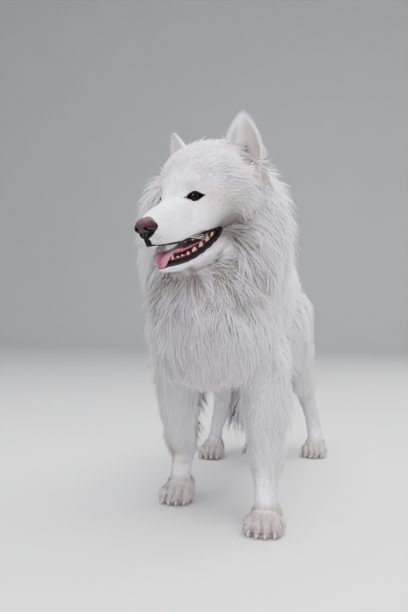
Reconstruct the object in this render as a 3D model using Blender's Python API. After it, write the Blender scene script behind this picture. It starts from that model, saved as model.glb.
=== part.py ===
"""A Samoyed standing with its head turned to its right, modelled life size.

The dog faces -Y, its left side is +X and it stands on the plane z = 0. Places are given from the point
midway between its front toes, and the whole dog is moved at the end so that the origin is under the
middle of its bounding box.
"""

import math
import random

import bmesh
import bpy
from mathutils import Matrix, Vector

# Driving sizes, in metres
GAP = 0.0003
SEED = 11

# Faces that meet at less than this angle are joined into one
FLAT_ENOUGH = math.radians(1.2)

# How far a form's rounded end stands out, as a share of its half width there
BLUNT = 0.35

# Where the toes of each foot meet the ground, at their front edge
FRONT_LEFT_FOOT = (0.099, -0.070)
FRONT_RIGHT_FOOT = (-0.099, 0.070)
REAR_LEFT_FOOT = (0.126, 0.533)
REAR_RIGHT_FOOT = (-0.125, 0.456)

# The head's own frame has its origin midway between the eyes, -Y along the muzzle and +X to its left
HEAD_PLACE = (-0.026, -0.132, 0.565)
HEAD_TURN = math.radians(-23.7)
HEAD_NOD = math.radians(13.8)
HEAD_LEAN = math.radians(-2.3)
UPPER_LIP_RADIUS = 0.0034
LOWER_LIP_RADIUS = 0.0046
EYE_RADIUS = 0.0125
EYE_PLACE = (0.0262, 0.0062, -0.002)
EAR_TIPS = {1.0: (0.0775, 0.1080, 0.1180), -1.0: (-0.0790, 0.1110, 0.1125)}
EYE_AIM = (0.70, -0.71, 0.05)

# Where a lock's rings stand along it, and its width and depth there
LOCK_PLACES = (0.0, 0.38, 0.72, 1.0)
LOCK_WIDTHS = (0.75, 1.0, 0.72)
LOCK_DEPTHS = (1.0, 0.9, 0.6)

# Length, width, depth and how deep the root is set, of the locks of each region
BODY_LOCK = (0.116, 0.088, 0.011, 0.010)
CHEST_LOCK = (0.095, 0.064, 0.011, 0.010)
BELLY_LOCK = (0.080, 0.065, 0.011, 0.010)
RUFF_LOCK = (0.110, 0.080, 0.011, 0.010)
THROAT_LOCK = (0.086, 0.068, 0.011, 0.010)
TAIL_LOCK = (0.110, 0.056, 0.011, 0.010)
FEATHER_LOCK = (0.070, 0.036, 0.008, 0.008)
BREECHES_LOCK = (0.105, 0.055, 0.010, 0.010)
CHEEK_LOCK = (0.066, 0.044, 0.008, 0.007)

# How many gaps a lock's tip moves ahead, so that its sharp end keeps the gap on every side
TIP_REACH = 12

WHITE_COAT = (0.80, 0.78, 0.80, 1.0)
SHADED_COAT = (0.66, 0.63, 0.64, 1.0)
NOSE_LEATHER = (0.09, 0.045, 0.045, 1.0)
EYE_BROWN = (0.03, 0.02, 0.015, 1.0)
TONGUE_PINK = (0.62, 0.22, 0.28, 1.0)


def clear_scene():
    for obj in list(bpy.data.objects):
        bpy.data.objects.remove(obj, do_unlink=True)


def new_collection(name):
    collection = bpy.data.collections.new(name)
    bpy.context.scene.collection.children.link(collection)
    return collection


def make_material(name, colour, roughness):
    material = bpy.data.materials.new(name)
    material.use_nodes = True
    shader = material.node_tree.nodes["Principled BSDF"]
    shader.inputs["Base Color"].default_value = colour
    shader.inputs["Roughness"].default_value = roughness
    shader.inputs["Metallic"].default_value = 0.0
    return material


def head_matrix():
    turn = Matrix.Rotation(HEAD_TURN, 4, "Z")
    nod = Matrix.Rotation(HEAD_NOD, 4, "X")
    lean = Matrix.Rotation(HEAD_LEAN, 4, "Y")
    return Matrix.Translation(HEAD_PLACE) @ turn @ nod @ lean


def between_rows(rows, place):
    """Reads a table of stations at a place from 0 to 1, on a smooth curve through them."""
    last = len(rows) - 1
    at = min(max(place, 0.0), 1.0) * last
    start = min(int(at), last - 1)
    t = at - start
    before = rows[max(start - 1, 0)]
    a, b = rows[start], rows[start + 1]
    after = rows[min(start + 2, last)]
    return [
        0.5 * (2 * q + (r - p) * t + (2 * p - 5 * q + 4 * r - s) * t**2 + (3 * q - p - 3 * r + s) * t**3)
        for p, q, r, s in zip(before, a, b, after)
    ]


class Form:
    """A round form along a curve. A row is x, y, z, half its width across, and half its depth."""

    def __init__(self, rows):
        self.rows = rows

    def centre(self, place):
        return Vector(between_rows(self.rows, place)[:3])

    def frame(self, place):
        ahead = self.centre(min(place + 0.01, 1.0))
        behind = self.centre(max(place - 0.01, 0.0))
        along = (ahead - behind).normalized()
        across = Vector((1.0, 0.0, 0.0))
        across = (across - along * across.dot(along)).normalized()
        return along, across, across.cross(along)

    def point(self, place, angle, out=0.0):
        x, y, z, wide, deep = between_rows(self.rows, place)
        _, across, up = self.frame(place)
        centre = Vector((x, y, z))
        return centre + across * ((wide + out) * math.cos(angle)) + up * ((deep + out) * math.sin(angle))

    def normal(self, place, angle):
        low, high = max(place - 0.01, 0.0), min(place + 0.01, 1.0)
        along = self.point(high, angle) - self.point(low, angle)
        around = self.point(place, angle + 0.02) - self.point(place, angle - 0.02)
        out = around.cross(along).normalized()
        if out.dot(self.point(place, angle) - self.centre(place)) < 0:
            out.negate()
        return out


def object_from(name, vertices, faces):
    mesh = bpy.data.meshes.new(name)
    mesh.from_pydata([tuple(v) for v in vertices], [], faces)
    model = bmesh.new()
    model.from_mesh(mesh)
    bmesh.ops.triangulate(model, faces=model.faces)
    bmesh.ops.recalc_face_normals(model, faces=model.faces)
    model.to_mesh(mesh)
    model.free()
    obj = bpy.data.objects.new(name, mesh)
    bpy.context.scene.collection.objects.link(obj)
    return obj


def loft(name, rings):
    """A closed solid through rings of equally many points. A ring of one point closes an end."""
    vertices, starts = [], []
    for ring in rings:
        starts.append(len(vertices))
        vertices += ring
    faces = []
    for n in range(len(rings) - 1):
        a, b = starts[n], starts[n + 1]
        near, far = len(rings[n]), len(rings[n + 1])
        for i in range(max(near, far)):
            j = (i + 1) % max(near, far)
            if near == 1:
                faces.append((a, b + i, b + j))
            elif far == 1:
                faces.append((a + i, b, a + j))
            else:
                faces += [(a + i, b + i, b + j), (a + i, b + j, a + j)]
    for n in (0, len(rings) - 1):
        if len(rings[n]) > 1:
            faces.append(tuple(range(starts[n], starts[n] + len(rings[n]))))
    return object_from(name, vertices, faces)


def form_solid(name, form, rings, sides, grow=0.0):
    """The solid of a form, rounded off at both ends."""
    stack = []
    for n in range(rings):
        place = n / (rings - 1)
        stack.append([form.point(place, math.tau * i / sides, grow) for i in range(sides)])
    first, last = form.frame(0.0)[0], form.frame(1.0)[0]
    start = form.centre(0.0) - first * (form.rows[0][3] * BLUNT + grow)
    end = form.centre(1.0) + last * (form.rows[-1][3] * BLUNT + grow)
    return loft(name, [[start]] + stack + [[end]])


def ball(name, place, radii, turn=None, segments=10, rings=6, grow=0.0):
    """A sphere stretched to three radii, then turned."""
    mesh = bpy.data.meshes.new(name)
    model = bmesh.new()
    bmesh.ops.create_uvsphere(model, u_segments=segments, v_segments=rings, radius=1.0)
    size = Matrix.Diagonal([r + grow for r in radii] + [1.0])
    model.transform(Matrix.Translation(place) @ (turn or Matrix.Identity(4)) @ size)
    bmesh.ops.triangulate(model, faces=model.faces)
    model.to_mesh(mesh)
    model.free()
    obj = bpy.data.objects.new(name, mesh)
    bpy.context.scene.collection.objects.link(obj)
    return obj


def lock(root, out, lie, size, lift, fall, rng, grow):
    """A flat, tapered lock of the coat. It starts under the surface at root, lies along lie, lifts from the
    surface by an angle and falls towards the ground near its tip."""
    length, width, thick, sink = size
    length *= rng.uniform(0.85, 1.15)
    width *= rng.uniform(0.85, 1.15)
    lift *= rng.uniform(0.7, 1.3)
    across = lie.cross(out).normalized()
    lie = (lie + across * rng.uniform(-0.18, 0.18)).normalized()
    across = lie.cross(out).normalized()
    curl = across * rng.uniform(-0.28, 0.28)
    start = lie * math.cos(lift) + out * math.sin(lift)
    finish = lie - out * 0.10 + Vector((0.0, 0.0, -fall)) + curl
    points = [root - out * sink]
    steps = len(LOCK_PLACES)
    for n in range(1, steps):
        share = LOCK_PLACES[n] - LOCK_PLACES[n - 1]
        middle = (LOCK_PLACES[n] + LOCK_PLACES[n - 1]) / 2
        heading = start.lerp(finish, middle).normalized()
        points.append(points[-1] + heading * (length + sink) * share)
    rings = []
    for n in range(steps - 1):
        ahead = (points[n + 1] - points[max(n - 1, 0)]).normalized()
        side = ahead.cross(out).normalized()
        top = side.cross(ahead)
        half, high = width / 2 * LOCK_WIDTHS[n], thick * LOCK_DEPTHS[n]
        slope = math.atan2(high, half)
        half += grow / math.tan(slope / 2)
        high += grow / math.cos(slope)
        middle = points[n] if n else points[n] - ahead * grow
        base = middle - top * grow
        rings.append([base + side * half, middle + top * high, base - side * half])
    tip = points[-1] + (points[-1] - points[-2]).normalized() * grow * TIP_REACH
    return loft("lock", rings + [[tip]])


def lie_on(out, wish):
    """The wish turned into the surface, so that a lock follows it."""
    flat = wish - out * wish.dot(out)
    return flat.normalized()


def coat(form, rows, spread, size, lift, fall, back, down, seed, grow):
    """Rows of locks round a form, each row staggered from the last. A row is its place and how many."""
    rng = random.Random(seed)
    pieces = []
    first, last = spread
    for n, (place, count) in enumerate(rows):
        for i in range(count):
            share = (i + 0.5 * (n % 2) + rng.uniform(-0.15, 0.15)) / count
            angle = first + (last - first) * share
            spot = min(max(place + rng.uniform(-0.015, 0.015), 0.0), 1.0)
            root, out = form.point(spot, angle), form.normal(spot, angle)
            lie = lie_on(out, Vector((0.0, back, -down)))
            pieces.append(lock(root, out, lie, size, lift, fall, rng, grow))
    return pieces


def aim(direction):
    """A turn that takes +Z to the direction and keeps X level."""
    forward = Vector(direction).normalized()
    across = Vector((0.0, 0.0, 1.0)).cross(forward).normalized()
    up = forward.cross(across)
    return Matrix((across, up, forward)).transposed().to_4x4()


def boolean(obj, operation, others):
    """Applies one Boolean of the others on the object and removes them."""
    helpers = bpy.data.collections.new("helpers")
    for other in others:
        helpers.objects.link(other)
    modifier = obj.modifiers.new(operation, "BOOLEAN")
    modifier.operation = operation
    modifier.operand_type = "COLLECTION"
    modifier.collection = helpers
    modifier.solver = "EXACT"
    graph = bpy.context.evaluated_depsgraph_get()
    mesh = bpy.data.meshes.new_from_object(obj.evaluated_get(graph))
    obj.modifiers.clear()
    obj.data = mesh
    for other in others:
        bpy.data.objects.remove(other, do_unlink=True)
    bpy.data.collections.remove(helpers)


def keep_largest_surface(obj):
    model = bmesh.new()
    model.from_mesh(obj.data)
    left = set(model.faces)
    shells = []
    while left:
        shell, edge = set(), [left.pop()]
        while edge:
            face = edge.pop()
            shell.add(face)
            for link in face.edges:
                for other in link.link_faces:
                    if other in left:
                        left.discard(other)
                        edge.append(other)
        shells.append(shell)
    shells.sort(key=lambda shell: sum(face.calc_area() for face in shell))
    spare = [face for shell in shells[:-1] for face in shell]
    bmesh.ops.delete(model, geom=spare, context="FACES")
    bmesh.ops.dissolve_limit(
        model, angle_limit=FLAT_ENOUGH, verts=model.verts, edges=model.edges, use_dissolve_boundaries=False
    )
    bmesh.ops.triangulate(model, faces=model.faces)
    model.to_mesh(obj.data)
    model.free()


# Trunk, neck, tail and limbs

TORSO = Form(
    [
        (0.0, -0.112, 0.348, 0.024, 0.026),
        (0.0, -0.098, 0.348, 0.062, 0.066),
        (0.0, -0.055, 0.352, 0.093, 0.090),
        (0.0, 0.010, 0.368, 0.107, 0.106),
        (0.0, 0.100, 0.400, 0.113, 0.132),
        (0.0, 0.200, 0.410, 0.112, 0.125),
        (0.0, 0.300, 0.416, 0.106, 0.112),
        (0.0, 0.390, 0.418, 0.100, 0.102),
        (0.0, 0.450, 0.412, 0.090, 0.094),
        (0.0, 0.500, 0.402, 0.060, 0.066),
    ]
)
NECK = Form(
    [
        (0.0, 0.050, 0.385, 0.106, 0.130),
        (0.0, 0.026, 0.440, 0.113, 0.126),
        (0.0, 0.018, 0.495, 0.117, 0.104),
        (0.0, 0.012, 0.545, 0.115, 0.084),
        (0.002, 0.004, 0.588, 0.106, 0.064),
        (0.004, 0.000, 0.622, 0.082, 0.042),
    ]
)
TAIL = Form(
    [
        (0.0, 0.455, 0.480, 0.024, 0.024),
        (0.0, 0.505, 0.455, 0.026, 0.026),
        (-0.010, 0.545, 0.390, 0.028, 0.028),
        (-0.028, 0.562, 0.310, 0.030, 0.030),
        (-0.050, 0.566, 0.220, 0.026, 0.026),
        (-0.066, 0.562, 0.138, 0.014, 0.014),
    ]
)


def front_leg(foot):
    x, y = foot
    side = math.copysign(1.0, x)
    elbow = 0.040 + y * 0.25
    return Form(
        [
            (0.060 * side, elbow + 0.002, 0.370, 0.036, 0.050),
            (0.084 * side, elbow, 0.300, 0.041, 0.050),
            (x - 0.004 * side, elbow * 0.55 + (y + 0.055) * 0.45, 0.220, 0.036, 0.040),
            (x - 0.003 * side, elbow * 0.25 + (y + 0.055) * 0.75, 0.140, 0.029, 0.031),
            (x - 0.003 * side, y + 0.056, 0.088, 0.022, 0.025),
            (x, y + 0.045, 0.040, 0.023, 0.026),
        ]
    )


def thigh(foot):
    x, y = foot
    side = math.copysign(1.0, x)
    lead = (y - 0.495) * 0.5
    return Form(
        [
            (0.044 * side, 0.420, 0.440, 0.032, 0.052),
            (0.071 * side, 0.425 + lead * 0.2, 0.380, 0.045, 0.080),
            (0.083 * side, 0.425 + lead * 0.5, 0.310, 0.042, 0.076),
            (0.091 * side, 0.450 + lead, 0.250, 0.035, 0.060),
            (x - 0.028 * side, y - 0.010, 0.195, 0.027, 0.040),
        ]
    )


def hock(foot):
    x, y = foot
    side = math.copysign(1.0, x)
    return Form(
        [
            (x - 0.029 * side, y - 0.006, 0.205, 0.022, 0.032),
            (x - 0.023 * side, y + 0.048, 0.155, 0.021, 0.028),
            (x - 0.010 * side, y + 0.062, 0.095, 0.019, 0.022),
            (x, y + 0.055, 0.045, 0.021, 0.024),
        ]
    )


FRONT_LEGS = {"left": front_leg(FRONT_LEFT_FOOT), "right": front_leg(FRONT_RIGHT_FOOT)}
THIGHS = {"left": thigh(REAR_LEFT_FOOT), "right": thigh(REAR_RIGHT_FOOT)}
HOCKS = {"left": hock(REAR_LEFT_FOOT), "right": hock(REAR_RIGHT_FOOT)}


def torso_pieces(grow):
    pieces = [form_solid("torso", TORSO, 10, 11, grow)]
    sides = (math.radians(-65), math.radians(245))
    rows = [(0.29, 7), (0.43, 7), (0.57, 7), (0.70, 7)]
    pieces += coat(TORSO, rows, sides, BODY_LOCK, math.radians(23), 0.35, 1.0, 0.5, SEED, grow)
    rump = (math.radians(15), math.radians(165))
    rows = [(0.83, 4), (0.94, 4)]
    pieces += coat(TORSO, rows, rump, BODY_LOCK, math.radians(23), 0.45, 1.0, 0.5, SEED + 7, grow)
    chest = (math.radians(-230), math.radians(50))
    rows = [(0.03, 6), (0.11, 8), (0.20, 8)]
    pieces += coat(TORSO, rows, chest, CHEST_LOCK, math.radians(21), 0.35, 0.2, 1.0, SEED + 1, grow)
    fringe = (math.radians(-120), math.radians(-60))
    rows = [(0.34, 2), (0.50, 2), (0.66, 2)]
    pieces += coat(TORSO, rows, fringe, BELLY_LOCK, math.radians(20), 0.25, 1.0, 0.3, SEED + 2, grow)
    return pieces


def neck_pieces(grow):
    pieces = [form_solid("neck", NECK, 7, 11, grow)]
    behind = (math.radians(-210), math.radians(30))
    rows = [(0.90, 6), (0.70, 7)]
    pieces += coat(NECK, rows, behind, RUFF_LOCK, math.radians(31), 0.35, 0.45, 1.0, SEED + 3, grow)
    rows = [(0.50, 6), (0.30, 5)]
    pieces += coat(NECK, rows, behind, RUFF_LOCK, math.radians(22), 0.40, 0.45, 1.0, SEED + 8, grow)
    throat = (math.radians(12), math.radians(168))
    rows = [(0.42, 5), (0.25, 4), (0.08, 4)]
    pieces += coat(NECK, rows, throat, THROAT_LOCK, math.radians(24), 0.25, 0.0, 1.0, SEED + 6, grow)
    return pieces


def tail_pieces(grow):
    pieces = [form_solid("tail", TAIL, 7, 6, grow)]
    rows = [(0.22, 3), (0.42, 3), (0.62, 3), (0.80, 3), (0.96, 3)]
    pieces += coat(TAIL, rows, (0.0, math.tau), TAIL_LOCK, math.radians(26), 0.4, 0.35, 1.0, SEED + 4, grow)
    return pieces


def front_leg_pieces(name, grow):
    """A front leg, with feathering behind it and at its sides."""
    form = FRONT_LEGS[name]
    pieces = [form_solid("leg", form, 10, 10, grow)]
    rows = [(0.30, 3), (0.46, 3), (0.62, 2)]
    spread = (math.radians(5), math.radians(175))
    seed = SEED + 20 * len(name)
    pieces += coat(form, rows, spread, FEATHER_LOCK, math.radians(22), 0.3, 0.5, 1.0, seed, grow)
    return pieces


def thigh_pieces(name, grow):
    """A thigh with its breeches, which cover its outer side and hang behind it."""
    form = THIGHS[name]
    pieces = [form_solid("thigh", form, 8, 10, grow)]
    low, high = (-60, 130) if name == "left" else (50, 240)
    rows = [(0.18, 3), (0.44, 3), (0.70, 3), (0.90, 2)]
    spread = (math.radians(low), math.radians(high))
    seed = SEED + 24 * len(name)
    pieces += coat(form, rows, spread, BREECHES_LOCK, math.radians(12), 0.3, 0.5, 1.0, seed, grow)
    return pieces


def paw_pieces(foot, length, width, grow):
    """A paw: four arched toes with claws, and the pads behind them."""
    x, y = foot
    radii = (width * 0.40, length * 0.40, 0.030)
    pieces = [ball("pad", (x, y + length * 0.62, 0.020), radii, segments=8, rings=6, grow=grow)]
    for toe in range(4):
        step = (toe - 1.5) / 1.5
        inner = 1.0 - abs(step)
        toe_x = x + step * width * 0.36
        toe_y = y + length * (0.30 - 0.10 * inner)
        radii = (width * 0.155, length * 0.30, 0.0175)
        pieces.append(ball("toe", (toe_x, toe_y, 0.0145), radii, segments=6, rings=4, grow=grow))
        claw = [
            (toe_x, toe_y - length * 0.22, 0.0150, 0.0034, 0.0042),
            (toe_x, toe_y - length * 0.31, 0.0115, 0.0026, 0.0032),
            (toe_x, toe_y - length * 0.37, 0.0060, 0.0010, 0.0012),
        ]
        pieces.append(form_solid("claw", Form(claw), 2, 4, grow))
    return pieces


def floor_cutters():
    """A block with its top at floor level, which gives the pads and toes their flats."""
    mesh = bpy.data.meshes.new("below_floor")
    model = bmesh.new()
    bmesh.ops.create_cube(model, size=1.0)
    model.transform(Matrix.Translation((0.0, 0.25, -0.1)) @ Matrix.Diagonal((2.0, 2.5, 0.2, 1.0)))
    bmesh.ops.triangulate(model, faces=model.faces)
    model.to_mesh(mesh)
    model.free()
    block = bpy.data.objects.new("below_floor", mesh)
    bpy.context.scene.collection.objects.link(block)
    return [block]


# Head

# y, top, bottom, half width, height of the widest point, squareness
SKULL_ROWS = [
    (-0.093, -0.034, -0.054, 0.011, -0.044, 2.0),
    (-0.087, -0.021, -0.063, 0.019, -0.044, 2.3),
    (-0.072, -0.012, -0.068, 0.0255, -0.044, 2.6),
    (-0.048, -0.005, -0.0705, 0.0295, -0.042, 2.8),
    (-0.029, 0.001, -0.0705, 0.0335, -0.040, 2.7),
    (-0.013, 0.011, -0.070, 0.0375, -0.034, 2.6),
    (0.002, 0.034, -0.068, 0.0430, -0.026, 2.4),
    (0.022, 0.058, -0.066, 0.0590, -0.012, 2.2),
    (0.050, 0.073, -0.064, 0.0720, -0.004, 2.1),
    (0.082, 0.079, -0.060, 0.0780, 0.004, 2.1),
    (0.112, 0.072, -0.050, 0.0720, 0.006, 2.0),
    (0.138, 0.048, -0.025, 0.0500, 0.008, 2.0),
]
JAW_ROWS = [
    (-0.068, -0.0985, -0.1060, 0.0110, -0.1020, 2.0),
    (-0.062, -0.0960, -0.1090, 0.0165, -0.1020, 2.2),
    (-0.040, -0.0945, -0.1130, 0.0230, -0.1030, 2.3),
    (-0.015, -0.0900, -0.1140, 0.0280, -0.1010, 2.3),
    (0.012, -0.0820, -0.1130, 0.0325, -0.0960, 2.2),
    (0.036, -0.0700, -0.1100, 0.0360, -0.0900, 2.2),
    (0.060, -0.0600, -0.1020, 0.0390, -0.0820, 2.0),
    (0.080, -0.0600, -0.0900, 0.0300, -0.0760, 2.0),
]


UPPER_LIP = [
    (0.0, -0.0900, -0.0600),
    (0.0150, -0.0810, -0.0645),
    (0.0255, -0.0500, -0.0665),
    (0.0300, -0.0150, -0.0655),
    (0.0345, 0.0180, -0.0625),
    (0.0370, 0.0440, -0.0600),
]
LOWER_LIP = [
    (0.0, -0.0685, -0.0985),
    (0.0150, -0.0600, -0.0965),
    (0.0235, -0.0330, -0.0950),
    (0.0295, -0.0020, -0.0875),
    (0.0345, 0.0260, -0.0760),
    (0.0365, 0.0450, -0.0650),
]


def head_point(row, angle, out):
    """A point of the head's skin: a squarish ring, wider or narrower above its waist than below."""
    y, top, bottom, half, waist, square = row
    c, s = math.cos(angle), math.sin(angle)
    x = (half + out) * math.copysign(abs(c) ** (2.0 / square), c)
    reach = (top - waist) if s > 0 else (waist - bottom)
    z = waist + (reach + out) * math.copysign(abs(s) ** (2.0 / square), s)
    return Vector((x, y, z))


class HeadForm(Form):
    """A form along the head's length. A row is y, top, bottom, half width, waist height and squareness."""

    def centre(self, place):
        row = between_rows(self.rows, place)
        return Vector((0.0, row[0], row[4]))

    def point(self, place, angle, out=0.0):
        return head_point(between_rows(self.rows, place), angle, out)


def head_form(name, rows, rings, sides, grow):
    form = HeadForm(rows)
    stack = []
    for n in range(rings):
        place = n / (rings - 1)
        stack.append([form.point(place, math.tau * i / sides, grow) for i in range(sides)])
    front = Vector((0.0, rows[0][0] - 0.002 - grow, (rows[0][1] + rows[0][2]) / 2))
    back = Vector((0.0, rows[-1][0] + 0.010 + grow, (rows[-1][1] + rows[-1][2]) / 2))
    return loft(name, [[front]] + stack + [[back]])


def tube(name, points, radius, grow):
    """A round bar along a line of points, with closed ends."""
    curve = bpy.data.curves.new(name, "CURVE")
    curve.dimensions = "3D"
    curve.bevel_depth = radius + grow
    curve.bevel_resolution = 1
    curve.use_fill_caps = True
    spline = curve.splines.new("POLY")
    spline.points.add(len(points) - 1)
    for slot, point in zip(spline.points, points):
        slot.co = (*point, 1.0)
    guide = bpy.data.objects.new(name, curve)
    bpy.context.scene.collection.objects.link(guide)
    graph = bpy.context.evaluated_depsgraph_get()
    mesh = bpy.data.meshes.new_from_object(guide.evaluated_get(graph))
    bpy.data.objects.remove(guide, do_unlink=True)
    model = bmesh.new()
    model.from_mesh(mesh)
    bmesh.ops.remove_doubles(model, verts=model.verts, dist=0.00001)
    bmesh.ops.triangulate(model, faces=model.faces)
    bmesh.ops.recalc_face_normals(model, faces=model.faces)
    model.to_mesh(mesh)
    model.free()
    obj = bpy.data.objects.new(name, mesh)
    bpy.context.scene.collection.objects.link(obj)
    return obj


def lip(name, half, radius, grow):
    """A lip from corner to corner of the mouth, from the points of its left half, front first."""
    steps = 6
    left = [Vector(between_rows(half, n / steps)) for n in range(steps + 1)]
    right = [Vector((-p.x, p.y, p.z)) for p in left[:0:-1]]
    return tube(name, right + left, radius, grow)


def eye_places():
    for side in (1.0, -1.0):
        place = Vector((EYE_PLACE[0] * side, EYE_PLACE[1], EYE_PLACE[2]))
        direction = Vector((EYE_AIM[0] * side, EYE_AIM[1], EYE_AIM[2])).normalized()
        yield side, place, direction


def skull_pieces(grow):
    pieces = [head_form("head", SKULL_ROWS, 17, 16, grow)]
    for _, place, _ in eye_places():
        pieces.append(ball("lids", place, [EYE_RADIUS + 0.0028] * 3, grow=grow))
    pieces.append(lip("upper_lip", UPPER_LIP, UPPER_LIP_RADIUS, grow))
    for side in ("left", "right"):
        low, high = (-54, 54) if side == "left" else (126, 234)
        spread = (math.radians(low), math.radians(high))
        rows = [(0.68, 4), (0.85, 4)]
        form = HeadForm(SKULL_ROWS)
        pieces += coat(form, rows, spread, CHEEK_LOCK, math.radians(32), 0.30, 1.0, 0.55, SEED + 5, grow)
    return pieces


def skull_cutters():
    """The mouth's roof between the lips, and the almond between each pair of lids."""
    cutters = [
        head_form(
            "mouth_roof",
            [
                (-0.078, -0.056, -0.090, 0.0130, -0.080, 2.4),
                (-0.050, -0.054, -0.090, 0.0220, -0.080, 2.4),
                (-0.010, -0.054, -0.090, 0.0290, -0.080, 2.4),
                (0.030, -0.056, -0.090, 0.0330, -0.080, 2.4),
                (0.042, -0.060, -0.090, 0.0330, -0.080, 2.4),
            ],
            8,
            12,
            0.0,
        )
    ]
    for _, place, direction in eye_places():
        cutters.append(
            ball("lid_opening", place + direction * 0.012, (0.0138, 0.0072, 0.014), aim(direction))
        )
    return cutters


def jaw_pieces(grow):
    pieces = [head_form("jaw", JAW_ROWS, 10, 12, grow), lip("lower_lip", LOWER_LIP, LOWER_LIP_RADIUS, grow)]
    for side in (1.0, -1.0):
        canine = [
            (0.0135 * side, -0.0580, -0.0985, 0.0026, 0.0030),
            (0.0145 * side, -0.0600, -0.0880, 0.0020, 0.0024),
            (0.0150 * side, -0.0590, -0.0800, 0.0006, 0.0008),
        ]
        pieces.append(form_solid("canine", Form(canine), 4, 6, grow))
    return pieces


def tongue_pieces(grow):
    rows = [
        (0.0, 0.020, -0.0780, 0.0200, 0.0036),
        (0.0, -0.015, -0.0805, 0.0198, 0.0036),
        (0.003, -0.042, -0.0810, 0.0182, 0.0034),
        (0.0055, -0.060, -0.0802, 0.0170, 0.0032),
        (0.0078, -0.0720, -0.0835, 0.0160, 0.0030),
        (0.0085, -0.0800, -0.0915, 0.0142, 0.0027),
        (0.0082, -0.0816, -0.0985, 0.0095, 0.0022),
    ]
    return [form_solid("tongue", Form(rows), 11, 12, grow)]


def nose_pieces(grow):
    return [
        ball("nose", (0.0, -0.0888, -0.0302), (0.0195, 0.0140, 0.0122), segments=12, rings=6, grow=grow),
        ball("philtrum", (0.0, -0.0885, -0.0435), (0.0090, 0.0080, 0.0090), segments=6, rings=4, grow=grow),
    ]


def nostril_cutters():
    return [
        ball("nostril", (0.0085 * side, -0.1000, -0.0320), (0.0036, 0.0045, 0.0030), segments=7, rings=5)
        for side in (1.0, -1.0)
    ]


def eye_pieces(side, grow):
    place = Vector((EYE_PLACE[0] * side, EYE_PLACE[1], EYE_PLACE[2]))
    return [ball("eye", place, [EYE_RADIUS] * 3, segments=10, rings=7, grow=grow)]


def ear_pieces(side, grow):
    """An upright ear with a rounded tip: each ring is a crescent, open to the front."""
    base = Vector((0.065 * side, 0.098, 0.022))
    tip = Vector(EAR_TIPS[side])
    rise = (tip - base).normalized()
    facing = Vector((0.42 * side, -0.90, 0.0))
    facing = (facing - rise * facing.dot(rise)).normalized()
    across = rise.cross(facing)
    height = (tip - base).length
    rings = []
    steps, sides = 7, 5
    for n in range(steps):
        t = n / (steps - 1) * 0.97
        half = 0.0360 * (1.0 - t**2.2) ** 0.75 * (0.84 + 0.16 * min(1.0, t * 3.0))
        cup = 0.020 * (1.0 - t) ** 0.7 * min(1.0, t * 2.5) + 0.001
        thick = 0.0050 * (1.0 - 0.55 * t)
        back = half * 0.62
        middle = base + rise * (height * t - (grow if n == 0 else 0.0))
        outer, inner = [], []
        for i in range(sides):
            angle = math.pi * i / (sides - 1)
            sweep, bow = math.cos(angle), math.sin(angle)
            behind = (back + grow) * bow if bow > 0.01 else -grow
            outer.append(middle + across * ((half + grow) * sweep) - facing * behind)
            hollow = max(back * bow - 2 * thick, -cup * 0.2) if t > 0.02 else -thick
            reach = max(half - thick, half * 0.4) - grow
            inner.append(middle + across * (reach * sweep) - facing * (hollow - grow * (1 if n else 2)))
        rings.append(outer + inner[::-1])
    end = base + rise * (height + grow) - facing * 0.002
    return [loft("ear", rings + [[end]])]


# Nodes, in the order in which the ones that keep their whole shape come first


def in_head(pieces):
    for piece in pieces:
        piece.data.transform(head_matrix())
    return pieces


PAW_SIZES = {"front": (0.088, 0.066), "rear": (0.082, 0.060)}
FEET = {
    ("front", "left"): FRONT_LEFT_FOOT,
    ("front", "right"): FRONT_RIGHT_FOOT,
    ("rear", "left"): REAR_LEFT_FOOT,
    ("rear", "right"): REAR_RIGHT_FOOT,
}
SIDES = {"left": 1.0, "right": -1.0}


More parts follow.
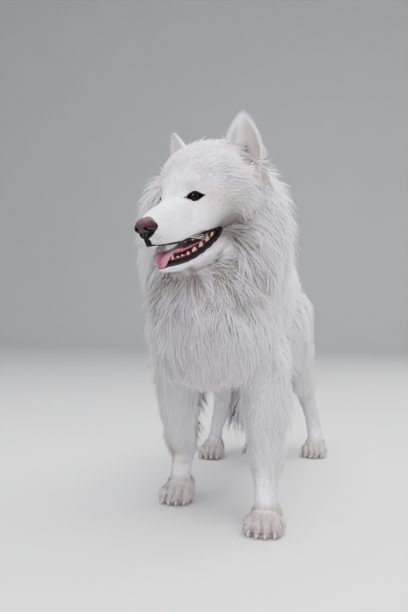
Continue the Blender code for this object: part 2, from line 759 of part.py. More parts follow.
def node_table():
    """Name, pieces, own cutters, the nodes it makes room for, colour and roughness."""
    rows = []
    for name, side in SIDES.items():
        rows.append(
            ("eye_" + name, lambda g, s=side: in_head(eye_pieces(s, g)), None, (), EYE_BROWN, 0.1)
        )
    nostrils = lambda: in_head(nostril_cutters())
    rows.append(("nose", lambda g: in_head(nose_pieces(g)), nostrils, (), NOSE_LEATHER, 0.45))
    rows.append(("tongue", lambda g: in_head(tongue_pieces(g)), None, (), TONGUE_PINK, 0.35))
    for name, side in SIDES.items():
        rows.append(
            ("ear_" + name, lambda g, s=side: in_head(ear_pieces(s, g)), None, (), WHITE_COAT, 0.8)
        )
    face = ("eye_left", "eye_right", "nose", "tongue", "ear_left", "ear_right")
    openings = lambda: in_head(skull_cutters())
    rows.append(("head", lambda g: in_head(skull_pieces(g)), openings, face, WHITE_COAT, 0.8))
    rows.append(("jaw", lambda g: in_head(jaw_pieces(g)), None, ("head", "tongue"), WHITE_COAT, 0.8))
    rows.append(("torso", torso_pieces, None, (), SHADED_COAT, 0.8))
    for (end, name), foot in FEET.items():
        paw, leg = f"paw_{end}_{name}", f"leg_{end}_{name}"
        size = PAW_SIZES[end]
        rows.append(
            (paw, lambda g, f=foot, s=size: paw_pieces(f, *s, g), floor_cutters, (), WHITE_COAT, 0.8)
        )
        if end == "front":
            rows.append(
                (leg, lambda g, n=name: front_leg_pieces(n, g), None, (paw, "torso"), WHITE_COAT, 0.8)
            )
            continue
        upper = "thigh_" + name
        rows.append((upper, lambda g, n=name: thigh_pieces(n, g), None, ("torso",), WHITE_COAT, 0.8))
        rows.append(
            (leg, lambda g, n=name: [form_solid("hock", HOCKS[n], 8, 10, g)], None, (paw, upper),
             WHITE_COAT, 0.8)
        )
    thighs = ("thigh_left", "thigh_right")
    hocks = ("leg_rear_left", "leg_rear_right")
    rows.append(("tail", tail_pieces, None, ("torso",) + thighs + hocks, WHITE_COAT, 0.8))
    front_legs = ("leg_front_left", "leg_front_right")
    ears = ("ear_left", "ear_right")
    rows.append(
        ("neck", neck_pieces, None, ("head", "jaw", "tongue", "torso") + ears + front_legs, WHITE_COAT, 0.8)
    )
    return rows


def joined(pieces):
    first, rest = pieces[0], pieces[1:]
    if rest:
        boolean(first, "UNION", rest)
    return first


def build_nodes():
    parts = new_collection("samoyed")
    table = node_table()
    makers = {row[0]: row[1] for row in table}
    nodes = []
    for name, pieces, cutters, neighbours, colour, roughness in table:
        node = joined(pieces(0.0))
        room = [joined(makers[other](GAP)) for other in neighbours]
        room += cutters() if cutters else []
        if room:
            boolean(node, "DIFFERENCE", room)
        keep_largest_surface(node)
        node.name = name
        node.data.name = name
        node.data.materials.clear()
        node.data.materials.append(make_material(name, colour, roughness))
        node.data.shade_smooth()
        for collection in list(node.users_collection):
            collection.objects.unlink(node)
        parts.objects.link(node)
        nodes.append(node)
    return nodes


def set_on_origin(nodes):
    """Moves every node so that the origin is under the middle of the dog, on the floor."""
    corners = [vertex.co for node in nodes for vertex in node.data.vertices]
    low_x, high_x = min(c.x for c in corners), max(c.x for c in corners)
    low_y, high_y = min(c.y for c in corners), max(c.y for c in corners)
    origin = bpy.data.objects.new("samoyed_place", None)
    origin.location = (-(low_x + high_x) / 2, -(low_y + high_y) / 2, 0.0)
    nodes[0].users_collection[0].objects.link(origin)
    for node in nodes:
        node.parent = origin


clear_scene()
set_on_origin(build_nodes())
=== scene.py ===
"""Skin, coat, eyes, nose, mouth and claws of the standing Samoyed, over its solids.

Places are in metres, from the point midway between the front toes, and every mesh is moved by SHIFT into
the frame of the solids when it is made. The head's own frame starts midway between the eyes, with -Y along
the muzzle and +X to the dog's left.
"""

import math

import bmesh
import bpy
import numpy as np
from mathutils import Matrix, Vector
from mathutils.bvhtree import BVHTree
from mathutils.geometry import barycentric_transform
from mathutils.kdtree import KDTree


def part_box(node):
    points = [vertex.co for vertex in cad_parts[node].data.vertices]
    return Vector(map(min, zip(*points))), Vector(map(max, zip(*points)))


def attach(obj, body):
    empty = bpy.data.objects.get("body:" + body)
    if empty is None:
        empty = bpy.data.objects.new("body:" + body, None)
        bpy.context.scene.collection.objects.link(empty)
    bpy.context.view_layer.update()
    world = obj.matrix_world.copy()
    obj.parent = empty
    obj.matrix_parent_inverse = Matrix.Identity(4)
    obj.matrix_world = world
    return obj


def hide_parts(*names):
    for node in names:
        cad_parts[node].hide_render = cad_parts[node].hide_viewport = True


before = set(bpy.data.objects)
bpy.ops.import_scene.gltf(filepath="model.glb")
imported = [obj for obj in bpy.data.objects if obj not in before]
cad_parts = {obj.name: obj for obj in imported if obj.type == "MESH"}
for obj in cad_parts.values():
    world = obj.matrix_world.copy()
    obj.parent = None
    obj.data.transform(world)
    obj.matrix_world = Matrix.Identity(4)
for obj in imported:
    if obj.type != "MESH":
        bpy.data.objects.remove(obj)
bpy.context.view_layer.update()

SEED = 7
SIDES = (1.0, -1.0)  # the dog's left, then its right

# Each foot: the place on the ground in front of its toes, its length and its width
FRONT_LEFT_FOOT = (0.099, -0.070)
FRONT_RIGHT_FOOT = (-0.099, 0.070)
REAR_LEFT_FOOT = (0.126, 0.533)
REAR_RIGHT_FOOT = (-0.125, 0.456)
FEET = {
    "front_left": (FRONT_LEFT_FOOT, 0.088, 0.066),
    "front_right": (FRONT_RIGHT_FOOT, 0.088, 0.066),
    "rear_left": (REAR_LEFT_FOOT, 0.082, 0.060),
    "rear_right": (REAR_RIGHT_FOOT, 0.082, 0.060),
}

HEAD_PLACE = (-0.026, -0.132, 0.565)
HEAD_TURN = math.radians(-23.7)
HEAD_NOD = math.radians(13.8)
HEAD_LEAN = math.radians(-2.3)
HEAD = (
    Matrix.Translation(HEAD_PLACE)
    @ Matrix.Rotation(HEAD_TURN, 4, "Z")
    @ Matrix.Rotation(HEAD_NOD, 4, "X")
    @ Matrix.Rotation(HEAD_LEAN, 4, "Y")
)
EYE_RADIUS = 0.0125
EYE_PLACE = Vector((0.0262, 0.0062, -0.002))
EYE_AIM = Vector((0.70, -0.71, 0.05)).normalized()
LID_OPENING = (0.0142, 0.0070)
LID_TILT = math.radians(-3.0)

# The left eye's box gives the step from these places to the frame of the solids
eye_low, eye_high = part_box("eye_left")
SHIFT = (eye_low + eye_high) / 2 - HEAD @ EYE_PLACE

# Rows of the round forms: x, y, z, half width across, half depth
ROUND_FORMS = {
    "torso": [
        (0.0, -0.098, 0.348, 0.058, 0.062),
        (0.0, -0.055, 0.352, 0.089, 0.086),
        (0.0, 0.010, 0.368, 0.103, 0.102),
        (0.0, 0.100, 0.400, 0.109, 0.128),
        (0.0, 0.200, 0.410, 0.108, 0.121),
        (0.0, 0.300, 0.416, 0.102, 0.108),
        (0.0, 0.390, 0.418, 0.096, 0.098),
        (0.0, 0.450, 0.412, 0.086, 0.090),
        (0.0, 0.500, 0.402, 0.056, 0.062),
    ],
    "neck": [
        (0.0, 0.050, 0.385, 0.102, 0.126),
        (0.0, 0.026, 0.440, 0.109, 0.122),
        (0.0, 0.018, 0.495, 0.113, 0.100),
        (0.0, 0.012, 0.545, 0.111, 0.080),
        (0.002, 0.004, 0.588, 0.102, 0.060),
        (0.004, 0.000, 0.622, 0.078, 0.038),
    ],
    "tail": [
        (0.0, 0.455, 0.480, 0.022, 0.022),
        (0.0, 0.505, 0.455, 0.023, 0.023),
        (-0.010, 0.545, 0.390, 0.024, 0.024),
        (-0.028, 0.562, 0.310, 0.025, 0.025),
        (-0.050, 0.566, 0.220, 0.021, 0.021),
        (-0.066, 0.562, 0.138, 0.011, 0.011),
    ],
}


def add_limb_forms():
    """The four legs, each from where its toes meet the ground."""
    for name, (foot, _, _) in FEET.items():
        x, y = foot
        side = math.copysign(1.0, x)
        if name.startswith("front"):
            elbow = 0.040 + y * 0.25
            ROUND_FORMS["leg_" + name] = [
                (0.060 * side, elbow + 0.002, 0.370, 0.033, 0.047),
                (0.084 * side, elbow, 0.300, 0.038, 0.047),
                (x - 0.004 * side, elbow * 0.55 + (y + 0.055) * 0.45, 0.220, 0.033, 0.037),
                (x - 0.003 * side, elbow * 0.25 + (y + 0.055) * 0.75, 0.140, 0.0265, 0.0285),
                (x - 0.003 * side, y + 0.056, 0.088, 0.0205, 0.0235),
                (x, y + 0.045, 0.036, 0.0215, 0.0245),
            ]
            continue
        lead = (y - 0.495) * 0.5
        ROUND_FORMS["thigh_" + name] = [
            (0.044 * side, 0.420, 0.440, 0.029, 0.049),
            (0.071 * side, 0.425 + lead * 0.2, 0.380, 0.042, 0.077),
            (0.083 * side, 0.425 + lead * 0.5, 0.310, 0.039, 0.073),
            (0.091 * side, 0.450 + lead, 0.250, 0.032, 0.057),
            (x - 0.028 * side, y - 0.010, 0.195, 0.024, 0.037),
        ]
        ROUND_FORMS["leg_" + name] = [
            (x - 0.029 * side, y - 0.006, 0.210, 0.022, 0.034),
            (x - 0.023 * side, y + 0.048, 0.155, 0.0195, 0.0265),
            (x - 0.010 * side, y + 0.062, 0.095, 0.0175, 0.0205),
            (x, y + 0.055, 0.040, 0.0195, 0.0225),
        ]


add_limb_forms()

# Rows of the head's forms: y, top, bottom, half width, height of the widest point, squareness
SKULL_ROWS = [
    (-0.093, -0.034, -0.054, 0.011, -0.044, 2.0),
    (-0.087, -0.021, -0.063, 0.019, -0.044, 2.3),
    (-0.072, -0.012, -0.068, 0.0255, -0.044, 2.6),
    (-0.048, -0.005, -0.0705, 0.0295, -0.042, 2.8),
    (-0.029, 0.001, -0.0705, 0.0335, -0.040, 2.7),
    (-0.013, 0.011, -0.070, 0.0375, -0.034, 2.6),
    (0.002, 0.034, -0.068, 0.0430, -0.026, 2.4),
    (0.022, 0.058, -0.066, 0.0590, -0.012, 2.2),
    (0.050, 0.073, -0.064, 0.0720, -0.004, 2.1),
    (0.082, 0.079, -0.060, 0.0780, 0.004, 2.1),
    (0.112, 0.072, -0.050, 0.0720, 0.006, 2.0),
    (0.138, 0.048, -0.025, 0.0500, 0.008, 2.0),
]
JAW_ROWS = [
    (-0.068, -0.0985, -0.1060, 0.0110, -0.1020, 2.0),
    (-0.062, -0.0960, -0.1090, 0.0165, -0.1020, 2.2),
    (-0.040, -0.0945, -0.1130, 0.0230, -0.1030, 2.3),
    (-0.015, -0.0900, -0.1140, 0.0280, -0.1010, 2.3),
    (0.012, -0.0820, -0.1130, 0.0325, -0.0960, 2.2),
    (0.036, -0.0700, -0.1100, 0.0360, -0.0900, 2.2),
    (0.060, -0.0600, -0.1020, 0.0390, -0.0820, 2.0),
    (0.080, -0.0600, -0.0900, 0.0300, -0.0760, 2.0),
]
MOUTH_ROWS = [
    (-0.078, -0.056, -0.090, 0.0130, -0.080, 2.4),
    (-0.050, -0.054, -0.090, 0.0220, -0.080, 2.4),
    (-0.010, -0.054, -0.090, 0.0290, -0.080, 2.4),
    (0.030, -0.056, -0.088, 0.0330, -0.078, 2.4),
    (0.044, -0.060, -0.078, 0.0330, -0.070, 2.4),
]

# The left half of each lip's edge, front first
UPPER_LIP = [
    (0.0, -0.0900, -0.0600),
    (0.0150, -0.0810, -0.0645),
    (0.0255, -0.0500, -0.0665),
    (0.0300, -0.0150, -0.0655),
    (0.0345, 0.0180, -0.0625),
    (0.0370, 0.0440, -0.0600),
]
LOWER_LIP = [
    (0.0, -0.0685, -0.0985),
    (0.0150, -0.0600, -0.0965),
    (0.0235, -0.0330, -0.0950),
    (0.0295, -0.0020, -0.0875),
    (0.0345, 0.0260, -0.0760),
    (0.0365, 0.0450, -0.0650),
]
MOUTH_CORNER_Y = 0.046


# Curves and meshes


def unit(vectors):
    vectors = np.asarray(vectors, float)
    return vectors / np.maximum(np.linalg.norm(vectors, axis=-1, keepdims=True), 1e-9)


def smooth(values, low, high):
    """0 at low and 1 at high, with a soft start and end."""
    t = np.clip((np.asarray(values, float) - low) / (high - low), 0.0, 1.0)
    return t * t * (3.0 - 2.0 * t)


def between_rows(rows, place):
    """Reads a table of stations at places from 0 to 1, on a smooth curve through them."""
    rows, place = np.asarray(rows, float), np.asarray(place, float)
    last = len(rows) - 1
    at = np.clip(place, 0.0, 1.0) * last
    start = np.minimum(at.astype(int), last - 1)
    t = (at - start)[..., None]
    p, q, r, s = (rows[np.clip(start + k, 0, last)] for k in (-1, 0, 1, 2))
    return 0.5 * (2 * q + (r - p) * t + (2 * p - 5 * q + 4 * r - s) * t**2 + (3 * q - p - 3 * r + s) * t**3)


def even_rows(rows, count):
    """A table read at evenly spaced places from its first row to its last."""
    return between_rows(rows, np.linspace(0.0, 1.0, count))


def circle(count):
    return np.linspace(0.0, math.tau, count, endpoint=False)


def turned(matrix, points):
    matrix = np.array(matrix, float)
    return np.asarray(points, float) @ matrix[:3, :3].T + matrix[:3, 3]


def in_head(points):
    return turned(HEAD, points)


def swept(centre, across, up, wide, high):
    """Rings of points round a line, as wide and high as is given for each point of each ring."""
    return centre[:, None] + across[:, None] * wide[..., None] + up[:, None] * high[..., None]


def round_rings(rows, count, sides):
    row, angle = even_rows(rows, count), circle(sides)
    along = unit(np.gradient(row[:, :3], axis=0))
    level = np.array((1.0, 0.0, 0.0))
    across = unit(level - along * (along @ level)[:, None])
    up = np.cross(across, along)
    return swept(row[:, :3], across, up, row[:, 3:4] * np.cos(angle), row[:, 4:5] * np.sin(angle))


def head_rings(rows, count, sides):
    y, top, bottom, half, waist, square = even_rows(rows, count).T[..., None]
    c, s = np.cos(circle(sides))[None], np.sin(circle(sides))[None]
    x = half * np.sign(c) * np.abs(c) ** (2.0 / square)
    reach = np.where(s > 0, top - waist, waist - bottom)
    z = waist + reach * np.sign(s) * np.abs(s) ** (2.0 / square)
    return np.stack([x, np.broadcast_to(y, x.shape), z], axis=-1)


def ring_solid(rings, blunt=0.35):
    """Vertices and faces of a closed solid through rings, with a blunt point past each end."""
    count, sides = rings.shape[:2]
    first, last = rings[0].mean(0), rings[-1].mean(0)
    reach_first = np.linalg.norm(rings[0] - first, axis=1).mean() * blunt
    reach_last = np.linalg.norm(rings[-1] - last, axis=1).mean() * blunt
    start = first + unit(first - rings[1].mean(0)) * reach_first
    end = last + unit(last - rings[-2].mean(0)) * reach_last
    vertices = np.vstack([rings.reshape(-1, 3), start, end])
    faces = []
    for n in range(count - 1):
        for i in range(sides):
            j = (i + 1) % sides
            faces.append((n * sides + i, (n + 1) * sides + i, (n + 1) * sides + j, n * sides + j))
    for i in range(sides):
        j = (i + 1) % sides
        faces.append((count * sides, i, j))
        faces.append((count * sides + 1, (count - 1) * sides + j, (count - 1) * sides + i))
    return vertices, faces


def ball(place, radii, turn=None, segments=24, rings=16):
    """Vertices and faces of a sphere stretched to three radii, then turned."""
    model = bmesh.new()
    bmesh.ops.create_uvsphere(model, u_segments=segments, v_segments=rings, radius=1.0)
    size = Matrix.Diagonal([*radii, 1.0])
    model.transform(Matrix.Translation(place) @ (turn or Matrix.Identity(4)) @ size)
    vertices = np.array([v.co for v in model.verts])
    faces = [tuple(v.index for v in f.verts) for f in model.faces]
    model.free()
    return vertices, faces


def merged(parts):
    """One list of vertices and faces from several."""
    vertices, faces, start = [], [], 0
    for part_vertices, part_faces in parts:
        vertices.append(part_vertices)
        faces += [tuple(start + i for i in face) for face in part_faces]
        start += len(part_vertices)
    return np.vstack(vertices), faces


def linked(name, content):
    """A new object in the scene with a mesh, light or camera in it."""
    obj = bpy.data.objects.new(name, content)
    bpy.context.scene.collection.objects.link(obj)
    return obj


def new_object(name, vertices, faces):
    mesh = bpy.data.meshes.new(name)
    mesh.from_pydata(np.asarray(vertices, float).tolist(), [], faces)
    model = bmesh.new()
    model.from_mesh(mesh)
    bmesh.ops.recalc_face_normals(model, faces=model.faces)
    model.to_mesh(mesh)
    model.free()
    mesh.shade_smooth()
    return linked(name, mesh)


def modify(obj, kind, **settings):
    modifier = obj.modifiers.new(kind.lower(), kind)
    for setting, value in settings.items():
        setattr(modifier, setting, value)


def applied(obj):
    """Puts the result of an object's modifiers into its mesh."""
    graph = bpy.context.evaluated_depsgraph_get()
    mesh = bpy.data.meshes.new_from_object(obj.evaluated_get(graph))
    obj.modifiers.clear()
    obj.data = mesh
    return obj


def fused(name, parts, voxel, rounds):
    """Melts closed pieces into one closed skin and smooths it."""
    obj = new_object(name, *merged(parts))
    modify(obj, "REMESH", mode="VOXEL", voxel_size=voxel)
    modify(obj, "SMOOTH", factor=0.5, iterations=rounds)
    return applied(obj)


def boolean(obj, operation, others):
    for other in others:
        modify(obj, "BOOLEAN", operation=operation, object=other, solver="MANIFOLD")
    applied(obj)
    for other in others:
        bpy.data.objects.remove(other, do_unlink=True)
    return obj


def read_rows(items, label, width, kind=np.float32):
    """One row of values for each item of a mesh."""
    values = np.empty(len(items) * width, kind)
    items.foreach_get(label, values)
    return values.reshape(-1, width)


def points_of(mesh):
    return read_rows(mesh.vertices, "co", 3).astype(float)


def normals_of(mesh):
    return read_rows(mesh.vertex_normals, "vector", 3).astype(float)


def set_points(mesh, points):
    mesh.vertices.foreach_set("co", np.asarray(points, np.float32).ravel())
    mesh.update()


def move_to_head(obj):
    """Takes a mesh made in the head's own frame to its place on the dog."""
    set_points(obj.data, in_head(points_of(obj.data)))


def put_attribute(mesh, name, values):
    values = np.asarray(values, np.float32)
    kind = "FLOAT" if values.ndim == 1 else "FLOAT_VECTOR"
    attribute = mesh.attributes.new(name, kind, "POINT")
    attribute.data.foreach_set("value" if values.ndim == 1 else "vector", values.ravel())


def finish_piece(obj, material, replaced=()):
    obj.data.materials.clear()
    obj.data.materials.append(material)
    obj.data.transform(Matrix.Translation(SHIFT))
    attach(obj, "root")
    if replaced:
        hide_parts(*replaced)
    return obj


def aim(direction):
    """A turn that takes +Z to the direction and keeps X level."""
    forward = Vector(direction).normalized()
    across = Vector((0.0, 0.0, 1.0)).cross(forward).normalized()
    up = forward.cross(across)
    return Matrix((across, up, forward)).transposed().to_4x4()


def mirrored(vector, side):
    return Vector((vector[0] * side, vector[1], vector[2]))


# The skin

EAR_BASE = Vector((0.0650, 0.0980, 0.0220))
EAR_TIPS = {1.0: Vector((0.0775, 0.1080, 0.1180)), -1.0: Vector((-0.0790, 0.1110, 0.1125))}
EAR_FACING = Vector((0.42, -0.90, 0.0))
EAR_THICK = 0.0036
EAR_BOW = 0.74
FINE_VOXEL, BODY_VOXEL = 0.0018, 0.005
BREAST = (0.0, -0.048, 0.405), (0.088, 0.052, 0.075)
ANKLE_RISE, ANKLE_FALL = (0.026, 0.040), (0.085, 0.070)

# Place in the head's frame, reach and height of each swelling or hollow of the face, given for the left side
FACE_FORMS = [
    ((0.0255, 0.0060, 0.0190), 0.0110, 0.0062),
    ((0.0420, 0.0240, 0.0140), 0.0110, 0.0030),
    ((0.0160, -0.0165, -0.0040), 0.0080, -0.0046),
    ((0.0320, -0.0090, -0.0190), 0.0090, -0.0024),
    ((0.0480, 0.0200, -0.0200), 0.0150, 0.0040),
    ((0.0220, 0.0340, 0.0560), 0.0190, 0.0030),
    ((0.0, 0.0170, 0.0370), 0.0120, -0.0050),
    ((0.0, -0.0150, 0.0080), 0.0120, -0.0046),
    ((0.0260, -0.0500, -0.0580), 0.0140, 0.0032),
    ((0.0200, -0.0740, -0.0500), 0.0130, 0.0026),
    ((0.0, -0.0860, -0.0620), 0.0080, 0.0016),
    ((0.0215, -0.0430, -0.0180), 0.0140, -0.0030),
    ((0.0, -0.0550, -0.0060), 0.0110, 0.0014),
]
# The almond shape of the lids' opening: two exponents, the lower lid's share and the inner corner's length
ALMOND = (1.7, 0.92)
LOWER_LID = 0.86
INNER_CORNER = 0.05
# Size and distance ahead of the eye's middle at both ends of the cut between the lids
LID_CUT = ((0.8, 0.003), (1.0, 0.022))


def lid_edge(angle, out=1.0):
    """Across and up of the almond opening between the lids, with drawn-out corners, at angles round it."""
    across = np.cos(angle)
    up = np.sign(np.sin(angle)) * (1.0 - np.abs(across) ** ALMOND[0]) ** ALMOND[1]
    up = np.where(up > 0.0, up, up * LOWER_LID) * LID_OPENING[1]
    across = across * LID_OPENING[0] * (1.0 + INNER_CORNER * (across < 0))
    tilt_cos, tilt_sin = math.cos(LID_TILT), math.sin(LID_TILT)
    return (across * tilt_cos - up * tilt_sin) * out, (across * tilt_sin + up * tilt_cos) * out


def eye_frame(side):
    """Place and turn of an eye: X to the outer corner, Y up, Z ahead."""
    turn = np.array(aim(EYE_AIM).to_3x3())
    mirror = np.diag((side, 1.0, 1.0))
    return np.array(mirrored(EYE_PLACE, side)), mirror @ turn


def head_skin():
    parts = [ring_solid(head_rings(SKULL_ROWS, 64, 64)), ring_solid(head_rings(JAW_ROWS, 40, 40))]
    for side in SIDES:
        parts.append(ball(mirrored(EYE_PLACE, side), [EYE_RADIUS + 0.0030] * 3, segments=40, rings=28))
    head = fused("head_skin", parts, FINE_VOXEL, 4)
    points, normals = points_of(head.data), normals_of(head.data)
    rise = np.zeros(len(points))
    for place, reach, height in FACE_FORMS:
        for side in SIDES if place[0] else SIDES[:1]:
            rise += height * blob(points, mirrored(place, side), reach)
    set_points(head.data, points + normals * rise[:, None])
    cutters = [new_object("mouth_room", *ring_solid(head_rings(MOUTH_ROWS, 24, 32)))]
    across, up = lid_edge(circle(64))
    for side in SIDES:
        place, turn = eye_frame(side)
        rings = [np.stack([across * size, up * size, np.full(64, ahead)], axis=1) for size, ahead in LID_CUT]
        cutters.append(new_object("lid_opening", *ring_solid(np.array(rings) @ turn.T + place, 0.05)))
    boolean(head, "DIFFERENCE", cutters)
    move_to_head(head)
    return head


def ear_half(t):
    """Half width of an ear from its base (0) to its tip (1)."""
    t = np.clip(t, 0.0, 1.0)
    return 0.0355 * (1.0 - t**2.2) ** 0.75 * (0.84 + 0.16 * np.minimum(1.0, t * 3.0))


def ear_axes(side):
    """Base, height and the directions across, up and out of the opening of an ear."""
    base, tip = mirrored(EAR_BASE, side), EAR_TIPS[side]
    rise = (tip - base).normalized()
    facing = mirrored(EAR_FACING, side)
    facing = (facing - rise * facing.dot(rise)).normalized()
    across = np.array(rise.cross(facing))
    return np.array(base), (tip - base).length, across, np.array(rise), np.array(facing)


def ear_rings(side):
    """Rings of an upright cupped ear, each a crescent open to the front."""
    base, height, across, rise, facing = ear_axes(side)
    steps, sides = 26, 14
    angle = np.linspace(0.0, math.pi, sides)
    sweep, bow = np.cos(angle), np.sin(angle)
    rings = []
    for t in np.linspace(0.0, 0.975, steps):
        half = float(ear_half(t))
        thick = EAR_THICK * (1.0 - 0.45 * t)
        back = half * EAR_BOW
        middle = base + rise * (height * t)
        deep = min(1.0, t * 6.0)
        outer = middle + np.outer(half * sweep, across) - np.outer(back * bow, facing)
        depth = (back * bow - thick * 1.6) * deep - thick * (1.0 - deep)
        inner = middle + np.outer((half - thick) * sweep, across) - np.outer(depth, facing)
        rings.append(np.vstack([outer, inner[1:-1][::-1]]))
    return np.array(rings)


def paw_parts(foot, length, width):
    x, y = foot
    parts = [
        ball((x, y + length * 0.60, 0.023), (width * 0.39, length * 0.40, 0.029)),
        ball((x, y + length * 0.38, 0.021), (width * 0.42, length * 0.30, 0.021)),
    ]
    for toe in range(4):
        step = (toe - 1.5) / 1.5
        inner = 1.0 - abs(step)
        place = (x + step * width * 0.335, y + length * (0.32 - 0.10 * inner), 0.0155)
        parts.append(ball(place, (width * 0.152, length * 0.29, 0.0160)))
    return parts


def body_skin():
    parts = [ring_solid(round_rings(rows, 40, 40)) for rows in ROUND_FORMS.values()]
    body = fused("body_skin", [*parts, ball(*BREAST)], BODY_VOXEL, 14)
    for foot, length, width in FEET.values():
        paw = fused("paw_skin", paw_parts(foot, length, width), FINE_VOXEL, 3)
        points = points_of(paw.data)
        points[:, 2] = np.maximum(points[:, 2], 0.0)
        set_points(paw.data, points)
        boolean(body, "UNION", [paw])
    height = points_of(body.data)[:, 2]
    share = smooth(height, *ANKLE_RISE) * smooth(height, *ANKLE_FALL)
    ankles = body.vertex_groups.new(name="ankles")
    for index in np.nonzero(share)[0]:
        ankles.add([int(index)], float(share[index]), "REPLACE")
    modify(body, "SMOOTH", factor=0.6, iterations=26, vertex_group="ankles")
    applied(body)
    body.vertex_groups.clear()
    return body


def whole_skin():
    skin = body_skin()
    ears = [new_object("ear_skin", in_head(v), f) for v, f in (ring_solid(ear_rings(s)) for s in SIDES)]
    head = boolean(head_skin(), "UNION", ears)
    skin = boolean(skin, "UNION", [head])
    skin.name = skin.data.name = "skin"
    skin.data.shade_smooth()
    return skin


# Markings and painted shade: how much of each tint a point of skin or coat has

# Soft regions: along which axis, where the region starts and where it is full. Side is the distance from the
# middle, and faces x, y and z the way that the skin faces.
HEAD_REGIONS = {
    "near": [("y", 0.20, 0.14), ("z", -0.20, -0.12)],
    "chin": [("z", -0.1045, -0.1125), ("y", -0.060, -0.045), ("y", 0.100, 0.060)],
    "throat": [
        ("z", -0.100, -0.118),
        ("z", -0.190, -0.130),
        ("y", -0.055, 0.0),
        ("y", 0.150, 0.080),
        ("x", -0.045, 0.005),
    ],
    "flank": [("side", 0.024, 0.056)],
    "low": [("z", -0.030, -0.070)],
    "back": [("y", 0.022, 0.088)],
    "temple": [("y", 0.012, 0.050), ("side", 0.030, 0.058), ("z", -0.040, -0.010)],
    "forehead": [("y", -0.014, 0.040), ("z", 0.004, 0.036)],
    "crown": [("y", 0.040, 0.105), ("z", 0.020, 0.050)],
    "under_jaw": [("z", -0.098, -0.110), ("y", -0.055, 0.020)],
    "bridge": [("y", -0.070, -0.010)],
    "high": [("z", 0.020, 0.050)],
}
BODY_REGIONS = {
    "chest": [("y", 0.02, -0.06)],
    "between_legs": [("y", 0.04, -0.02)],
    "nape": [("y", 0.020, 0.075), ("faces y", -0.1, 0.5), ("z", 0.40, 0.46), ("y", 0.20, 0.12)],
    "withers": [("y", 0.06, 0.10), ("y", 0.24, 0.14), ("faces z", 0.2, 0.7)],
    "front_leg": [("z", 0.36, 0.30), ("z", 0.085, 0.13)],
    "rear_leg": [("z", 0.44, 0.36), ("z", 0.12, 0.19)],
    "outside": [("faces side", 0.5, 0.9)],
    "behind": [("faces y", 0.15, 0.75)],
    "belly": [("faces z", -0.3, -0.8), ("y", 0.05, 0.12)],
    "paw": [("z", 0.055, 0.038)],
    "rear": [("y", 0.12, 0.28), ("z", 0.12, 0.22)],
    "shin": [("z", 0.32, 0.26), ("z", 0.05, 0.08)],
}
FRONT_LEGS_END_Y = 0.22
REAR_LEGS_START_Y, REAR_LEGS_START_X = 0.36, 0.035
BELLY_LOWEST_Z = 0.2

# Soft spots on the head, of cream tint and of painted shade: strength, place, reach
CREAM_SPOTS = [
    (1.10, (0.056, 0.078, 0.050), 0.017),
    (0.28, (0.0, 0.040, 0.070), 0.050),
    (1.00, (0.048, 0.020, -0.006), 0.015),
    (0.75, (0.060, 0.042, -0.022), 0.022),
    (1.00, (0.080, 0.106, 0.030), 0.020),
    (0.40, (0.028, 0.002, 0.022), 0.014),
]
# Painted shade behind the mouth corner (partly the fur's own greyish-brown there), over the brow, at the
# inner corner of the eye and in the stop
PAINTED_SHADE_SPOTS = [
    (1.60, (0.045, 0.050, -0.056), 0.026),
    (0.90, (0.050, 0.066, -0.066), 0.020),
    (0.55, (0.026, -0.002, 0.0175), 0.0060),
    (0.90, (0.0170, -0.0135, -0.0010), 0.0055),
    (0.30, (0.0, -0.012, 0.006), 0.010),
]
# Painted shade at the angle of the jaw, partly the fur's own greyish-brown there
JAW_ANGLE_SHADE = ((0.050, 0.085, -0.080), 0.034)
SPECKLES = ((0.013, -0.086, -0.054), 0.015)
# Painted shade in the pit of the ear: place, reach
PAINTED_EAR_PIT_SHADE = ((0.067, 0.096, 0.050), 0.0095)
BEFORE_EAR = ((0.065, 0.080, 0.048), 0.020)
# Painted shade on the chest and between the front legs, and a stain on the right wrist: middle and size
# along each axis
CHEST_SHADE = ((0.0, 0.0, 0.360), (0.080, math.inf, 0.070))
LEG_GAP_SHADE = ((0.010, 0.0, 0.270), (0.050, math.inf, 0.045))
WRIST_STAIN = ((-0.100, 0.105, 0.095), (0.020, 0.030, 0.026))
# How strong each painted shade (jaw angle, chin, throat, chest, leg gap) and each stain (wrist, toes) is
STAIN_AND_SHADE = {
    "jaw_angle": 0.55, "chin": 0.90, "throat": 0.80, "chest": 0.72, "leg_gap": 0.60, "wrist": 0.75,
    "toe_ends": 0.75, "toe_gaps": 0.90, "toe_crease": 0.60, "front_left_toes": 0.62, "other_toes": 0.36,
}
# Bare black skin: the width of its band round the lids and how much more at their corners; from the lip's
# edge, where it ends and where it is full
LID_BAND = (0.0027, 0.0022)
LIP_BAND = (0.0040, 0.0022)
# Black skin round the nose and in the groove under it: middle, stretch, where it ends and where it is full
NOSE_SURROUND = [
    ((0.0, -0.0915, -0.0330), (1.08, 0.8, 1.0), (0.0200, 0.0180)),
    ((0.0, -0.0905, -0.0560), (0.80, 1.2, 1.0), (0.0110, 0.0080)),
]


def regions(table, points, facing=None):
    """The share, from 0 to 1, of each region of a table at each point."""
    values = dict(zip("xyz", points.T), side=np.abs(points[:, 0]))
    if facing is not None:
        values.update(zip(("faces x", "faces y", "faces z"), facing.T))
        values["faces side"] = np.abs(facing[:, 0])
    return {
        name: np.prod([smooth(values[axis], start, full) for axis, start, full in edges], axis=0)
        for name, edges in table.items()
        if all(axis in values for axis, _, _ in edges)
    }


def folded(points):
    """Points with those of the right side mirrored to the left."""
    left = points.copy()
    left[:, 0] = np.abs(left[:, 0])
    return left


def blob(points, place, size):
    """1 at a place, softly falling to 0 over a size."""
    return np.exp(-(((points - np.array(place)) / np.array(size)) ** 2).sum(1))


def spot(points, place, reach):
    return blob(folded(points), place, reach)


